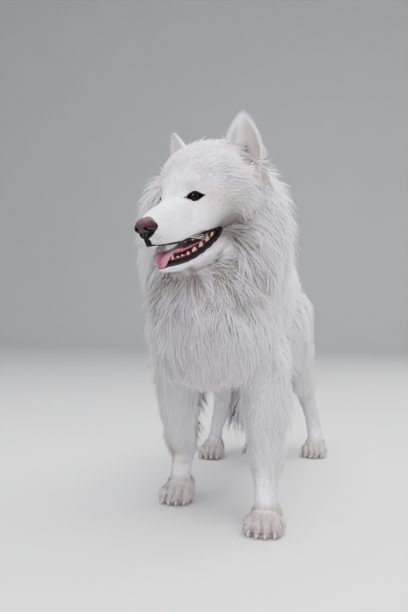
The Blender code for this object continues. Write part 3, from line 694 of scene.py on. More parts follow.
def lip_height(edge, y):
    table = even_rows(edge, 60)
    order = np.argsort(table[:, 1])
    return np.interp(y, table[order, 1], table[order, 2])


def nearest_on(edge, points):
    """Distance from points, folded to the left side, to a lip's edge."""
    return np.sqrt(((folded(points)[:, None] - even_rows(edge, 60)[None]) ** 2).sum(-1).min(1))


def lid_places(points):
    """Across and up of points of the head's frame, as seen by the eye of their side."""
    place, turn = eye_frame(1.0)
    return ((folded(points) - place) @ turn).T[:2]


def beyond_lids(points):
    """How far outside the opening between the lids points are, below 0 within it."""
    across, up = lid_places(points)
    edge_across, edge_up = lid_edge(np.linspace(0.0, math.tau, 90))
    steps = np.arctan2(edge_up / LID_OPENING[1], edge_across / LID_OPENING[0])
    order = np.argsort(steps)
    heading = np.arctan2(up / LID_OPENING[1], across / LID_OPENING[0])
    reach = np.interp(heading, steps[order], np.hypot(edge_across, edge_up)[order], period=math.tau)
    return np.hypot(across, up) - reach


def lid_corner(points):
    """1 beside the two corners of the lids, 0 above and below them."""
    across, up = lid_places(points)
    along = math.cos(LID_TILT) * across + math.sin(LID_TILT) * up
    off = math.cos(LID_TILT) * up - math.sin(LID_TILT) * across
    return smooth(np.abs(along), 0.0105, 0.0140) * np.exp(-((off / 0.0026) ** 2))


def head_local(points):
    return turned(HEAD.inverted(), points)


def markings(points):
    """Masks from 0 to 1: cream (with warm painted shade between the front legs), painted shade, rust, black
    (bare skin), speckle and ear (its lining, with painted shade deep in it).
    """
    local = head_local(points)
    head, body = regions(HEAD_REGIONS, local), regions(BODY_REGIONS, points)
    cream, painted_shade = (
        head["near"] * sum(strength * spot(local, place, reach) for strength, place, reach in spots)
        for spots in (CREAM_SPOTS, PAINTED_SHADE_SPOTS)
    )
    patchy = smooth(wander(points, 0.010, 8), -0.4, 0.8)
    half_patchy, more_patchy = 0.5 + 0.5 * patchy, 0.4 + 0.6 * patchy
    # Painted shade at the jaw's angle, under the chin, between the throat's clumps and in the chest's hollow
    painted_shade += head["near"] * STAIN_AND_SHADE["jaw_angle"] * spot(local, *JAW_ANGLE_SHADE) * more_patchy
    painted_shade += head["near"] * STAIN_AND_SHADE["chin"] * head["chin"] * half_patchy
    painted_shade += STAIN_AND_SHADE["throat"] * head["throat"] * patchy
    painted_shade += STAIN_AND_SHADE["chest"] * body["chest"] * blob(points, *CHEST_SHADE) * half_patchy
    # Warm painted shade between the front legs, given as cream
    cream += STAIN_AND_SHADE["leg_gap"] * body["between_legs"] * blob(points, *LEG_GAP_SHADE) * more_patchy
    cream += STAIN_AND_SHADE["wrist"] * blob(points, *WRIST_STAIN)
    lid_band = LID_BAND[0] + LID_BAND[1] * lid_corner(local)
    black = np.maximum(smooth(beyond_lids(local) / lid_band, 1.15, 0.65), nose_surround(local))
    black = np.maximum(black, smooth(nearest_on(UPPER_LIP, local), *LIP_BAND))
    _, along, _, inside, depth, sideways = ear_share(local)
    bare = smooth(sideways, -0.50, 0.10) * np.where(local[:, 0] > 0, 1.0, 0.45)
    bare *= smooth(depth, -0.002, 0.006) * smooth(along, 0.98, 0.80)
    # Painted shade deep in the ear's hollow, down its middle near the base
    painted_canal_shade = np.exp(-(((sideways - 0.06) / 0.20) ** 2)) * smooth(along, 0.60, 0.38)
    lining_and_canal_shade = np.maximum(0.5 * inside * (bare + painted_canal_shade), spot(local, *PAINTED_EAR_PIT_SHADE))
    shown = {
        "cream": cream * (1.0 - lining_and_canal_shade), "painted_shade": painted_shade, "rust": toe_stain(points), "black": black,
        "speckle": spot(local, *SPECKLES), "ear": lining_and_canal_shade,
    }
    return {mask: np.clip(values, 0.0, 1.0) for mask, values in shown.items()}


def toe_stain(points):
    """Rusty fur at the toes' ends, in the gaps between them and in the crease over them."""
    x, y, z = points.T
    stain = STAIN_AND_SHADE["toe_ends"] * smooth(z, 0.020, 0.005)
    for name, (foot, length, width) in FEET.items():
        tone = STAIN_AND_SHADE.get(name + "_toes", STAIN_AND_SHADE["other_toes"])
        near = (np.abs(x - foot[0]) < width) & (np.abs(y - foot[1] - length * 0.4) < length * 0.8)
        front = near * smooth(y, foot[1] + length * 0.50, foot[1] + length * 0.30)
        across = (x - foot[0]) / (width * 0.335)
        gaps = sum(np.exp(-(((across - gap) / 0.20) ** 2)) for gap in (-0.667, 0.0, 0.667))
        stain = np.max([
            stain,
            STAIN_AND_SHADE["toe_gaps"] * gaps * front * smooth(z, 0.046, 0.030),
            STAIN_AND_SHADE["toe_crease"] * near * np.exp(-(((z - 0.047) / 0.0030) ** 2)),
            tone * near * smooth(z, 0.050, 0.040),
        ], axis=0)
    return stain


def nose_surround(local):
    """1 on the bare black skin round the nose and down its groove to the lip."""
    surround = np.zeros(len(local))
    for place, stretch, edge in NOSE_SURROUND:
        away = np.linalg.norm((local - np.array(place)) / np.array(stretch), axis=1)
        surround = np.maximum(surround, smooth(away, *edge))
    return surround


# The coat: length, width, lift from the surface in degrees, fall, and the lie's share of +Y and of +Z

LIE_OF_FORMS = {
    "torso": [
        (0.050, 0.0013, 26, 0.45, 0.10, -1.0),
        (0.054, 0.0013, 28, 0.45, 0.20, -1.0),
        (0.054, 0.0014, 30, 0.40, 0.70, -0.8),
        (0.050, 0.0015, 28, 0.30, 1.00, -0.5),
        (0.047, 0.0016, 25, 0.30, 1.00, -0.4),
        (0.048, 0.0016, 26, 0.35, 1.00, -0.5),
        (0.054, 0.0016, 29, 0.40, 1.00, -0.7),
        (0.062, 0.0016, 30, 0.50, 0.70, -1.0),
    ],
    "neck": [
        (0.058, 0.0013, 31, 0.45, 0.25, -1.0),
        (0.062, 0.0013, 36, 0.42, 0.30, -1.0),
        (0.067, 0.0013, 45, 0.38, 0.40, -1.0),
        (0.065, 0.0013, 50, 0.30, 0.45, -1.0),
        (0.057, 0.0013, 49, 0.26, 0.50, -0.9),
        (0.042, 0.0013, 42, 0.25, 0.60, -0.7),
    ],
    "tail": [
        (0.062, 0.0016, 26, 0.40, 0.50, -1.0),
        (0.078, 0.0016, 32, 0.45, 0.45, -1.0),
        (0.086, 0.0016, 32, 0.45, 0.30, -1.0),
        (0.112, 0.0016, 22, 0.80, 0.05, -1.0),
    ],
    "leg_front": [
        (0.046, 0.0015, 24, 0.35, 0.40, -1.0),
        (0.036, 0.0014, 26, 0.30, 0.30, -1.0),
        (0.029, 0.0013, 26, 0.25, 0.25, -1.0),
        (0.021, 0.0012, 24, 0.20, 0.20, -1.0),
        (0.014, 0.0012, 20, 0.15, 0.05, -1.0),
        (0.012, 0.0011, 18, 0.10, 0.00, -1.0),
    ],
    "thigh": [
        (0.054, 0.0016, 25, 0.40, 0.80, -1.0),
        (0.052, 0.0015, 25, 0.40, 0.60, -1.0),
        (0.044, 0.0015, 25, 0.35, 0.50, -1.0),
        (0.034, 0.0014, 23, 0.30, 0.45, -1.0),
        (0.025, 0.0013, 22, 0.20, 0.40, -1.0),
    ],
    "leg_rear": [
        (0.025, 0.0013, 22, 0.20, 0.40, -1.0),
        (0.018, 0.0012, 20, 0.15, 0.30, -1.0),
        (0.014, 0.0012, 19, 0.10, 0.10, -1.0),
        (0.012, 0.0011, 18, 0.05, 0.00, -1.0),
    ],
}
CLOSENESS = 0.92
LARGEST_PIECE = 190000

# Each shape of tuft: the share of its length and of its width at each ring, and the length that it ends at
TUFT_SHAPES = [
    ((0.0,), (1.0,), 0.0115),
    ((0.0, 0.45), (0.80, 1.00), 0.0600),
    ((0.0, 0.34, 0.70), (0.75, 1.00, 0.62), 1.0),
]
# Shares of a tuft's length where its middle line has points
MARKS = np.array((0.0, 0.34, 0.70, 1.0))
# A tuft's depth as a share of its width
FLATNESS = 0.38
# How much of the skin's own normal short and long tufts are shaded with
SOFTNESS = (0.74, 0.84)
UV_PATCH = 0.003
BAKE_MAP = "OFBake"

# What regions add to the coat: length in metres, lift in radians
BODY_CHANGES = {
    "withers": (0.010, 0.12),
    "back_of_front_leg": (0.030, 0.22),
    "outside_of_front_leg": (0.008, 0.08),
    "back_of_rear_leg": (0.030, 0.0),
    "belly": (-0.015, 0.0),
}
PAW_COAT = (0.0150, 0.0012, math.radians(27.0), 0.0, (0.0, -1.0, -0.75))
NAPE_LAID_FLAT = 0.45
# The face's coat: its length, more where a region is full, and the least length in each longer region
FACE_LENGTH, FACE_LONGER = 0.0056, {"bridge": 0.0036, "forehead": 0.0125, "crown": 0.0120}
SHORT, CHEEK_LONGER, TEMPLE_LONGER, UNDER_JAW_LONGER = 0.0052, 0.0400, 0.0380, 0.0200
# The face's lift in degrees, and more where a region is full
FACE_LIFT, MOST_FACE_LIFT = 17.0, 46.0
FACE_RAISED = {"forehead": 12.0, "crown": 8.0, "cheek": 18.0, "temple": 15.0, "under_jaw": 14.0}
EAR_WIDTH = 0.0009
# Distance between the roots of long tufts, how much less it is for the shortest, the length of these, and
# how much longer tufts are where the distance has nearly stopped growing
SPACING, SHORT_SPACING, SHORT_LENGTH, LONGER_BY = 0.00225, 0.00115, 0.005, 0.012
# How much thinner the coat is behind the ribs, in the ear's lining and on the lower legs, and how much
# wider its tufts are behind the ribs
REAR_THINNER, REAR_FEWER, LINING_THINNER, SHIN_THINNER, REAR_WIDER = 0.40, 0.14, 0.80, 0.20, 0.25
# Waves over the coat, which lean, lift or curl neighbours the same way (strength, reach, seed), and chance
LEAN, LEAN_CHANCE = [(0.34, 0.013, 3), (0.16, 0.050, 4)], 0.24
LIFT, LIFT_CHANCE = [(0.34, 0.011, 5)], 0.34
CURL, CURL_CHANCE = [(0.45, 0.007, 6)], 0.32
LENGTH_SPREAD, WIDTH_SPREAD, LIFT_LIMITS = (0.62, 1.18), (0.70, 1.30), (0.05, 1.1)
# Tufts to a lock, the pull of their tips in short and long coat, and its spread
LOCK_SIZE, LEAST_PULL, LONG_PULL, PULL_SPREAD, MOST_PULL = 12, 0.03, 0.26, (0.1, 1.5), 0.8
# Heights over the floor of the lowest middle line and of the lowest corner of a tuft
LOWEST_LINE, LOWEST_CORNER = 0.0015, 0.0008
# Turn of a tuft about its own line, how much less long tufts differ in tint, and spread of strand patterns
ROLL, CALM_TINT, STRAND_PATTERNS = 0.6, 0.6, 50.0
LEGS_TOP_Z, RUFF_BACK_Y, TAIL_FRONT_Y = 0.30, 0.09, 0.50


def lie_of_form(points):
    """For each point, the blended row of LIE_OF_FORMS of the forms that it belongs to."""
    nearest, rows = [], []
    place = np.linspace(0.0, 1.0, 40)
    for name, stations in ROUND_FORMS.items():
        kind = next(key for key in LIE_OF_FORMS if name.startswith(key))
        row = between_rows(stations, place)
        size = (row[:, 3] + row[:, 4]) / 2
        away = np.linalg.norm(points[:, None] - row[None, :, :3], axis=2) / size
        best = away.argmin(1)
        nearest.append(away[np.arange(len(points)), best])
        rows.append(between_rows(LIE_OF_FORMS[kind], place[best]))
    nearest, rows = np.array(nearest), np.array(rows)
    share = np.exp(-(((nearest - nearest.min(0)) / 0.16) ** 2))
    share /= share.sum(0)
    return (rows * share[..., None]).sum(0)


def head_share(local):
    """1 on the skin of skull and jaw, 0 away from it."""
    y = local[:, 1]
    skull = np.array(SKULL_ROWS)
    half = np.interp(y, skull[:, 0], skull[:, 3])
    top = np.interp(y, skull[:, 0], skull[:, 1])
    bottom = np.where(y < 0.070, -0.118, -0.060)
    out = np.maximum(np.abs(local[:, 0]) - half, np.maximum(local[:, 2] - top, bottom - local[:, 2]))
    return smooth(out, 0.010, 0.004) * smooth(y, 0.142, 0.120)


def ear_share(local):
    """Share of ear, place from base to tip, way of its rise, share of its cup, depth and place across."""
    left = local[:, 0] > 0.0
    return [
        np.where(left if first.ndim == 1 else left[:, None], first, second)
        for first, second in zip(*(one_ear(local, side) for side in SIDES))
    ]


def one_ear(local, side):
    skull = np.array(SKULL_ROWS)
    top = np.interp(local[:, 1], skull[:, 0], skull[:, 1])
    over_skull = local[:, 2] - top * np.clip(1.0 - (np.abs(local[:, 0]) / 0.080) ** 2, 0.0, 1.0) ** 0.5
    base, height, across, rise, facing = ear_axes(side)
    near = local[:, 0] * side > 0.0
    off = local - base
    t, u, v = off @ rise / height, off @ across, off @ facing
    half = ear_half(t)
    out = np.maximum(np.abs(u) - half, np.maximum(v - 0.004, -v - half * EAR_BOW))
    share = near * smooth(out, 0.0050, 0.0020) * smooth(over_skull, 0.003, 0.009) * smooth(t, 0.10, 0.20)
    bow = np.sqrt(np.clip(1.0 - (u / np.maximum(half, 1e-4)) ** 2, 0.0, 1.0))
    wall = -(half * EAR_BOW * bow - EAR_THICK * 0.8)
    cup = near * (v > wall) * (np.abs(u) < half - EAR_THICK * 0.5) * smooth(t, 0.10, 0.18)
    inside = cup * (v < 0.002) * (over_skull > -0.006)
    return share, t, rise + np.outer(u / 0.030, across), inside, -v, u * side / np.maximum(half, 0.004)


def blend(first, second, share):
    """Each of the first values where share is 0, and of the second where it is 1."""
    mixed = []
    for a, b in zip(first, second):
        part = share if np.ndim(a) == 1 else share[:, None]
        mixed.append(a * (1 - part) + np.asarray(b) * part)
    return mixed


def coat_at(points, normals):
    """Length, width, lift, fall, lie and density of the coat at points of the skin."""
    x, y, z = points.T
    row = lie_of_form(points)
    length, width, lift, fall = row[:, 0].copy(), row[:, 1].copy(), np.radians(row[:, 2]), row[:, 3].copy()
    wish = np.stack([np.zeros(len(points)), row[:, 4], row[:, 5]], axis=1)
    body = regions(BODY_REGIONS, points, normals)
    lift *= 1.0 - NAPE_LAID_FLAT * body["nape"]
    front_leg = body["front_leg"] * (y < FRONT_LEGS_END_Y)
    rear_leg = body["rear_leg"] * (y > REAR_LEGS_START_Y) * (np.abs(x) > REAR_LEGS_START_X)
    body["back_of_front_leg"] = body["behind"] * front_leg
    body["outside_of_front_leg"] = body["outside"] * front_leg
    body["back_of_rear_leg"] = body["behind"] * rear_leg
    body["belly"] = body["belly"] * (z > BELLY_LOWEST_Z)
    for region, (longer, raised) in BODY_CHANGES.items():
        length += longer * body[region]
        lift += raised * body[region]

    local = head_local(points)
    coat = blend((length, width, lift, fall, wish), face_coat(local), head_share(local))
    ear, ear_coat, lining_bare = coat_of_ears(local)
    coat = blend(coat, ear_coat, ear)
    length, width, lift, fall, wish = blend(coat, PAW_COAT, body["paw"])

    rear = body["rear"]
    spacing = SPACING - SHORT_SPACING * np.exp(-(length - SHORT_LENGTH) / LONGER_BY)
    density = CLOSENESS * (1.0 - REAR_THINNER * rear) / spacing**2
    density *= bare_places(points, local) * (1.0 - LINING_THINNER * lining_bare)
    density *= (1.0 - SHIN_THINNER * body["shin"]) * (1.0 - REAR_FEWER * rear)
    return length, width * (1.0 + REAR_WIDER * rear), lift, fall, wish, density


def face_coat(local):
    """Length, width, lift, fall and lie of the coat of skull and jaw."""
    head = regions(HEAD_REGIONS, local)
    cheek = head["cheek"] = head["back"] * np.maximum(head["flank"], head["low"])
    length = FACE_LENGTH + sum(longer * head[region] for region, longer in FACE_LONGER.items())
    length = np.maximum(length, SHORT + CHEEK_LONGER * cheek)
    length = np.maximum(length, SHORT + TEMPLE_LONGER * head["temple"])
    length = length + UNDER_JAW_LONGER * head["under_jaw"]
    length *= 0.50 + 0.50 * smooth(beyond_lids(local), 0.001, 0.012)
    length *= 1.0 - 0.80 * spot(local, *BEFORE_EAR)
    width = np.clip(0.0009 + 0.024 * (length - 0.005), 0.0008, 0.0014)
    lift = FACE_LIFT + sum(degrees * head[region] for region, degrees in FACE_RAISED.items())
    lift = np.minimum(np.radians(lift), math.radians(MOST_FACE_LIFT))
    parting = np.tanh(local[:, 0] / 0.016)
    down = -0.10 - 0.55 * cheek + 0.35 * head["high"] * (1.0 - cheek)
    wish = np.stack([0.16 * parting + 0.45 * parting * head["forehead"], np.ones(len(local)), down], axis=1)
    return length, width, lift, 0.05 + 0.25 * cheek, turned_way(wish)


def coat_of_ears(local):
    """Share of ear; length, width, lift, fall and lie of its coat; and where its lining is nearly bare."""
    ear, t, way, inside, depth, sideways = ear_share(local)
    bare = inside * smooth(sideways, -0.34, -0.04)
    wisps = inside * np.exp(-(((sideways + 0.50) / 0.20) ** 2)) * smooth(t, 0.85, 0.55)
    fringe = smooth(np.abs(sideways), 0.80, 0.95)
    length = 0.0060 + 0.0140 * smooth(t, 0.50, 0.12)
    length = length * (1.0 - bare) + 0.0080 * bare + 0.0170 * wisps
    length += 0.0120 * smooth(sideways, -0.55, -0.95) * smooth(t, 0.60, 0.25)
    way = way + np.array((0.40, 0.0, 0.0)) * (np.sign(local[:, 0]) * wisps)[:, None]
    lift = np.radians(11.0 + 12.0 * bare + 20.0 * wisps + 16.0 * fringe)
    return ear, (length, EAR_WIDTH, lift, 0.0, turned_way(way)), bare * smooth(depth, 0.002, 0.008)


def turned_way(ways):
    """Directions of the head's frame, turned with the head."""
    return ways @ np.array(HEAD.to_3x3()).T


def bare_places(points, local):
    """0 where no coat grows: mouth, lips, nose, between the lids and under the pads."""
    lx, ly, lz = local.T
    between_lips = (
        (lz < lip_height(UPPER_LIP, ly) + 0.0012)
        & (lz > lip_height(LOWER_LIP, ly) - 0.0050)
        & (ly < MOUTH_CORNER_Y + 0.002)
        & (np.abs(lx) < 0.045)
    )
    keep = (beyond_lids(local) > 0.0016) & ~between_lips & (nose_surround(local) < 0.25)
    return (keep & (points[:, 2] > 0.004)).astype(float)


def triangles_of(mesh):
    mesh.calc_loop_triangles()
    return read_rows(mesh.loop_triangles, "vertices", 3, np.int32)


def roots_on(skin, share, rng):
    """Places and normals spread over the skin, closer where the coat is shorter."""
    points, normals = points_of(skin.data), normals_of(skin.data)
    corners = triangles_of(skin.data)
    a, b, c = (points[corners[:, k]] for k in range(3))
    area = np.linalg.norm(np.cross(b - a, c - a), axis=1) / 2
    middle = (a + b + c) / 3
    face_normal = unit(normals[corners].sum(1))
    density = coat_at(middle, face_normal)[5]
    chance = np.cumsum(area * density)
    count = int(chance[-1] * share)
    step = (np.arange(count) + rng.random(count)) / count
    pick = np.searchsorted(chance, step * chance[-1])
    u, v = rng.random((2, count))
    flip = u + v > 1.0
    u[flip], v[flip] = 1.0 - u[flip], 1.0 - v[flip]
    weights = np.stack([1.0 - u - v, u, v], axis=1)
    chosen = corners[pick]
    roots = (points[chosen] * weights[..., None]).sum(1)
    outs = unit((normals[chosen] * weights[..., None]).sum(1))
    return roots, outs


def wander(points, scale, seed):
    """A smooth field of values about -1 to 1, so that neighbours lean the same way."""
    rng = np.random.default_rng(seed)
    total = np.zeros(len(points))
    for _ in range(6):
        wave = rng.normal(size=3) / scale
        total += np.sin(points @ wave + rng.random() * math.tau)
    return total / 2.4


def strays(points, waves, chance, rng):
    """How far each tuft strays: the waves that pass over it, and its own chance."""
    own = rng.normal(0.0, chance, len(points))
    return sum(strength * wander(points, reach, seed) for strength, reach, seed in waves) + own


def tuft_lines(roots, outs, rng):
    """The middle line of every tuft at MARKS, its tip last, with its length and width."""
    length, width, lift, fall, wish, _ = coat_at(roots, outs)
    count = len(roots)
    length = length * rng.uniform(*LENGTH_SPREAD, count)
    width = width * rng.uniform(*WIDTH_SPREAD, count)
    lie = unit(wish - outs * (wish * outs).sum(1)[:, None])
    lie = unit(lie + np.cross(lie, outs) * strays(roots, LEAN, LEAN_CHANCE, rng)[:, None])
    lift = np.clip(lift * (1.0 + strays(roots, LIFT, LIFT_CHANCE, rng)), *LIFT_LIMITS)
    start = lie * np.cos(lift)[:, None] + outs * np.sin(lift)[:, None]
    curl = np.cross(lie, outs) * strays(roots, CURL, CURL_CHANCE, rng)[:, None]
    finish = lie + outs * (0.10 * np.sin(lift))[:, None] + curl
    finish[:, 2] -= fall
    lines = np.empty((count, len(MARKS), 3))
    lines[:, 0] = roots - outs * np.minimum(0.0015, 0.1 * length)[:, None]
    for k in range(1, len(MARKS)):
        middle = (MARKS[k] + MARKS[k - 1]) / 2
        heading = unit(start * (1.0 - middle) + finish * middle)
        lines[:, k] = lines[:, k - 1] + heading * (length * (MARKS[k] - MARKS[k - 1]))[:, None]
    return gathered(lines, length, rng), length, width


def gathered(lines, length, rng):
    """Draws the tips of neighbouring tufts a little together into locks."""
    count = len(lines)
    leads = rng.choice(count, count // LOCK_SIZE, replace=False)
    tree = KDTree(len(leads))
    for n, lead in enumerate(leads):
        tree.insert(lines[lead, 0], n)
    tree.balance()
    follow = np.array([leads[tree.find(root)[1]] for root in lines[:, 0]])
    strength = LONG_PULL * smooth(length, 0.008, 0.050) + LEAST_PULL
    pull = strength[:, None] * MARKS[None] ** 1.4 * rng.uniform(*PULL_SPREAD, count)[:, None]
    drawn = lines + (lines[follow] - lines) * np.clip(pull, 0.0, MOST_PULL)[..., None]
    drawn[..., 2] = np.maximum(drawn[..., 2], LOWEST_LINE)
    return drawn


def line_at(lines, station):
    """Points of the lines at a share of their length."""
    k = min(int(np.searchsorted(MARKS, station, side="right")) - 1, len(MARKS) - 2)
    t = (station - MARKS[k]) / (MARKS[k + 1] - MARKS[k])
    return lines[:, k] * (1.0 - t) + lines[:, k + 1] * t


def bake_places(skin, roots):
    """Where each root lies on an unwrap of the skin's own shape."""
    proxy = linked("unwrap", skin.data.copy())
    modify(proxy, "REMESH", mode="VOXEL", voxel_size=0.010)
    applied(proxy)
    model = bmesh.new()
    model.from_mesh(proxy.data)
    bmesh.ops.triangulate(model, faces=model.faces)
    model.to_mesh(proxy.data)
    model.free()
    for other in bpy.context.selected_objects:
        other.select_set(False)
    proxy.select_set(True)
    bpy.context.view_layer.objects.active = proxy
    bpy.ops.object.mode_set(mode="EDIT")
    bpy.ops.mesh.select_all(action="SELECT")
    bpy.ops.uv.smart_project(angle_limit=math.radians(66), island_margin=0.004)
    bpy.ops.object.mode_set(mode="OBJECT")
    mesh = proxy.data
    corners = read_rows(mesh.loops, "vertex_index", 1, np.int32).reshape(-1, 3)
    uv = read_rows(mesh.uv_layers.active.data, "uv", 2).reshape(-1, 3, 2)
    points = points_of(mesh)
    tree = BVHTree.FromPolygons(points.tolist(), corners.tolist())
    places = np.empty((len(roots), 2))
    for n, root in enumerate(roots):
        spot_on, _, face, _ = tree.find_nearest(root)
        a, b, c = (Vector(points[k]) for k in corners[face])
        flat = [Vector((*uv[face, k], 0.0)) for k in range(3)]
        places[n] = barycentric_transform(spot_on, a, b, c, *flat)[:2]
    bpy.data.objects.remove(proxy, do_unlink=True)
    return np.clip(places, UV_PATCH, 1.0 - UV_PATCH)


def tuft_geometry(stations, widths, lines, width, outs, roll):
    """Corners, faces and marks of many closed, tapered, three-sided tufts of one shape."""
    count, rings = len(lines), len(stations)
    middles = [line_at(lines, station) for station in (*stations, 1.0)]
    vertices = np.empty((count, rings * 3 + 1, 3))
    for k in range(rings):
        ahead = unit(middles[k + 1] - middles[max(k - 1, 0)])
        side = unit(np.cross(ahead, outs))
        top = np.cross(side, ahead)
        side, top = (
            side * np.cos(roll)[:, None] + top * np.sin(roll)[:, None],
            top * np.cos(roll)[:, None] - side * np.sin(roll)[:, None],
        )
        half = (width * widths[k] / 2)[:, None]
        vertices[:, k * 3] = middles[k] + side * half
        vertices[:, k * 3 + 1] = middles[k] + top * half * 2 * FLATNESS
        vertices[:, k * 3 + 2] = middles[k] - side * half
    vertices[:, -1] = middles[-1]
    vertices[..., 2] = np.maximum(vertices[..., 2], LOWEST_CORNER)
    tip = rings * 3
    faces = [(0, 1, 2)]
    for k in range(rings - 1):
        for i in range(3):
            j = (i + 1) % 3
            faces.append((k * 3 + j, k * 3 + i, k * 3 + 3 + i, k * 3 + 3 + j))
    last = (rings - 1) * 3
    faces += [(last + (i + 1) % 3, last + i, tip) for i in range(3)]
    along = np.append(np.repeat(stations, 3), 1.0)
    across = np.append(np.tile((0.0, 0.5, 1.0), rings), 0.5)
    return vertices, faces, along, across


def coat_piece(name, lines, length, width, outs, marks_at, places, rng):
    """One mesh of tufts of every shape."""
    count = len(lines)
    roll = rng.uniform(-ROLL, ROLL, count)
    vivid = 1.0 - CALM_TINT * smooth(length, 0.012, 0.034)
    tint, number = 0.5 + (rng.random(count) - 0.5) * vivid, rng.random(count) * STRAND_PATTERNS
    shortest, start, pieces = 0.0, 0, []
    for stations, widths, longest in TUFT_SHAPES:
        chosen = np.nonzero((length >= shortest) & (length < longest))[0]
        shortest = longest
        if not len(chosen):
            continue
        vertices, faces, along, across = tuft_geometry(
            stations, widths, lines[chosen], width[chosen], outs[chosen], roll[chosen]
        )
        pattern = np.array([i for face in faces for i in face])
        first_corners = (np.arange(len(chosen)) * len(along))[:, None]
        pieces.append((
            vertices.reshape(-1, 3),
            (pattern[None] + first_corners).ravel() + start,
            np.tile([len(face) for face in faces], len(chosen)),
            np.tile(along, len(chosen)),
            np.tile(across, len(chosen)),
            np.repeat(chosen, len(along)),
        ))
        start += len(chosen) * len(along)
    points, loops, sizes, along, across, owner = (np.concatenate(values) for values in zip(*pieces))
    loops = loops.astype(np.int32)
    mesh = bpy.data.meshes.new(name)
    mesh.vertices.add(len(points))
    mesh.vertices.foreach_set("co", points.astype(np.float32).ravel())
    mesh.loops.add(len(loops))
    mesh.loops.foreach_set("vertex_index", loops)
    mesh.polygons.add(len(sizes))
    mesh.polygons.foreach_set("loop_start", np.concatenate([[0], np.cumsum(sizes)[:-1]]).astype(np.int32))
    mesh.update(calc_edges=True)
    mesh.shade_smooth()

    layer = mesh.uv_layers.new(name=BAKE_MAP)
    uv = places[owner] + np.stack([across - 0.5, along - 0.5], axis=1) * UV_PATCH
    layer.data.foreach_set("uv", uv[loops].astype(np.float32).ravel())
    own = {mask: values[owner] for mask, values in marks_at.items()}
    own |= {"along": along, "tint": tint[owner], "strand": np.stack([across, along, number[owner]], axis=1)}
    soft = SOFTNESS[0] + (SOFTNESS[1] - SOFTNESS[0]) * smooth(length, 0.006, 0.034)[owner, None]
    own["custom_normal"] = unit(normals_of(mesh) * (1.0 - soft) + outs[owner] * soft)
    for label, values in own.items():
        put_attribute(mesh, label, values)
    return linked(name, mesh)


def triangle_count(length):
    shortest, total = 0.0, np.zeros(len(length), int)
    for stations, _, longest in TUFT_SHAPES:
        total[(length >= shortest) & (length < longest)] = 6 * len(stations) - 2
        shortest = longest
    return total


def grow_coat(skin, material):
    rng = np.random.default_rng(SEED)
    roots, outs = roots_on(skin, 1.0, rng)
    lines, length, width = tuft_lines(roots, outs, rng)
    places, marks, local = bake_places(skin, roots), markings(roots), head_local(roots)
    head = (head_share(local) > 0.5) | (ear_share(local)[0] > 0.5)
    legs = (roots[:, 2] < LEGS_TOP_Z) & ~head
    ruff = (roots[:, 1] < RUFF_BACK_Y) & ~head & ~legs
    tail = (roots[:, 1] > TAIL_FRONT_Y) & ~legs
    trunk = ~(head | legs | ruff | tail)
    triangles = triangle_count(length)
    for name, region in {"head": head, "legs": legs, "ruff": ruff, "tail": tail, "trunk": trunk}.items():
        chosen = np.nonzero(region)[0]
        chosen = chosen[np.argsort(roots[chosen, 0])]
        running = np.cumsum(triangles[chosen])
        pieces = max(1, math.ceil(running[-1] / LARGEST_PIECE))
        part = np.minimum((running - 1) * pieces // running[-1], pieces - 1)
        for n in range(pieces):
            group = chosen[part == n]
            piece = coat_piece(
                f"coat_{name}_{n + 1}", lines[group], length[group], width[group], outs[group],
                {mask: values[group] for mask, values in marks.items()}, places[group], rng,
            )
            finish_piece(piece, material)


# Eyes, nose, mouth, claws and whiskers

# Middles and radii of the balls that make the nose, then of those on each side
NOSE_BALLS = [
    ((0.0, -0.0895, -0.0300), (0.0178, 0.0135, 0.0120), 40, 28),
    ((0.0, -0.0885, -0.0435), (0.0090, 0.0080, 0.0090), 24, 16),
]
NOSE_WINGS = [
    ((0.0100, -0.0945, -0.0335), (0.0074, 0.0076, 0.0082)),
    ((0.0128, -0.0868, -0.0345), (0.0082, 0.0100, 0.0088)),
]
# The nostril and the slit beside it
NOSTRIL_CUTS = [
    ((0.0092, -0.1020, -0.0345), (0.0040, 0.0085, 0.0033)),
    ((0.0152, -0.0975, -0.0390), (0.0068, 0.0070, 0.0013)),
]
NOSTRIL_LEAN = math.radians(28)
NOSE_GROOVE = 0.0011

TONGUE_ROWS = [
    (0.0, 0.0300, -0.0770, 0.0200, 0.0040),
    (0.0, -0.0100, -0.0800, 0.0200, 0.0040),
    (0.0020, -0.0360, -0.0815, 0.0185, 0.0036),
    (0.0050, -0.0560, -0.0800, 0.0172, 0.0033),
    (0.0075, -0.0700, -0.0825, 0.0162, 0.0030),
    (0.0085, -0.0785, -0.0890, 0.0150, 0.0028),
    (0.0085, -0.0815, -0.0960, 0.0120, 0.0024),
    (0.0080, -0.0818, -0.1008, 0.0062, 0.0016),
]
LIP_CORNER = (0.0362, 0.0465, -0.0625), (0.0046, 0.0060, 0.0052)
MOUTH_FLOOR = (0.0, -0.010, -0.0930), (0.0270, 0.0560, 0.0070)
MOUTH_BACK = (0.0, 0.0420, -0.0720), (0.0310, 0.0120, 0.0150)
# Each row of teeth: lip, inwards, up, growing way, places of the cheek teeth, their height, the canine's
TOOTH_ROWS = [
    (LOWER_LIP, 0.0060, 0.0035, 1.0, (0.30, 0.36, 0.44, 0.53, 0.63, 0.74, 0.84), 0.0068, 0.0150),
    (UPPER_LIP, 0.0078, 0.0020, -1.0, (0.34, 0.42, 0.51, 0.61, 0.71, 0.81), 0.0056, 0.0050),
]
# Half length, half width and point of a canine and of a front tooth
CANINE_SHAPE = (0.0030, 0.0026, 0.25)
FRONT_TOOTH_SHAPE = (0.0017, 0.0014, 0.7)
FRONT_TOOTH_HEIGHT = 0.0048
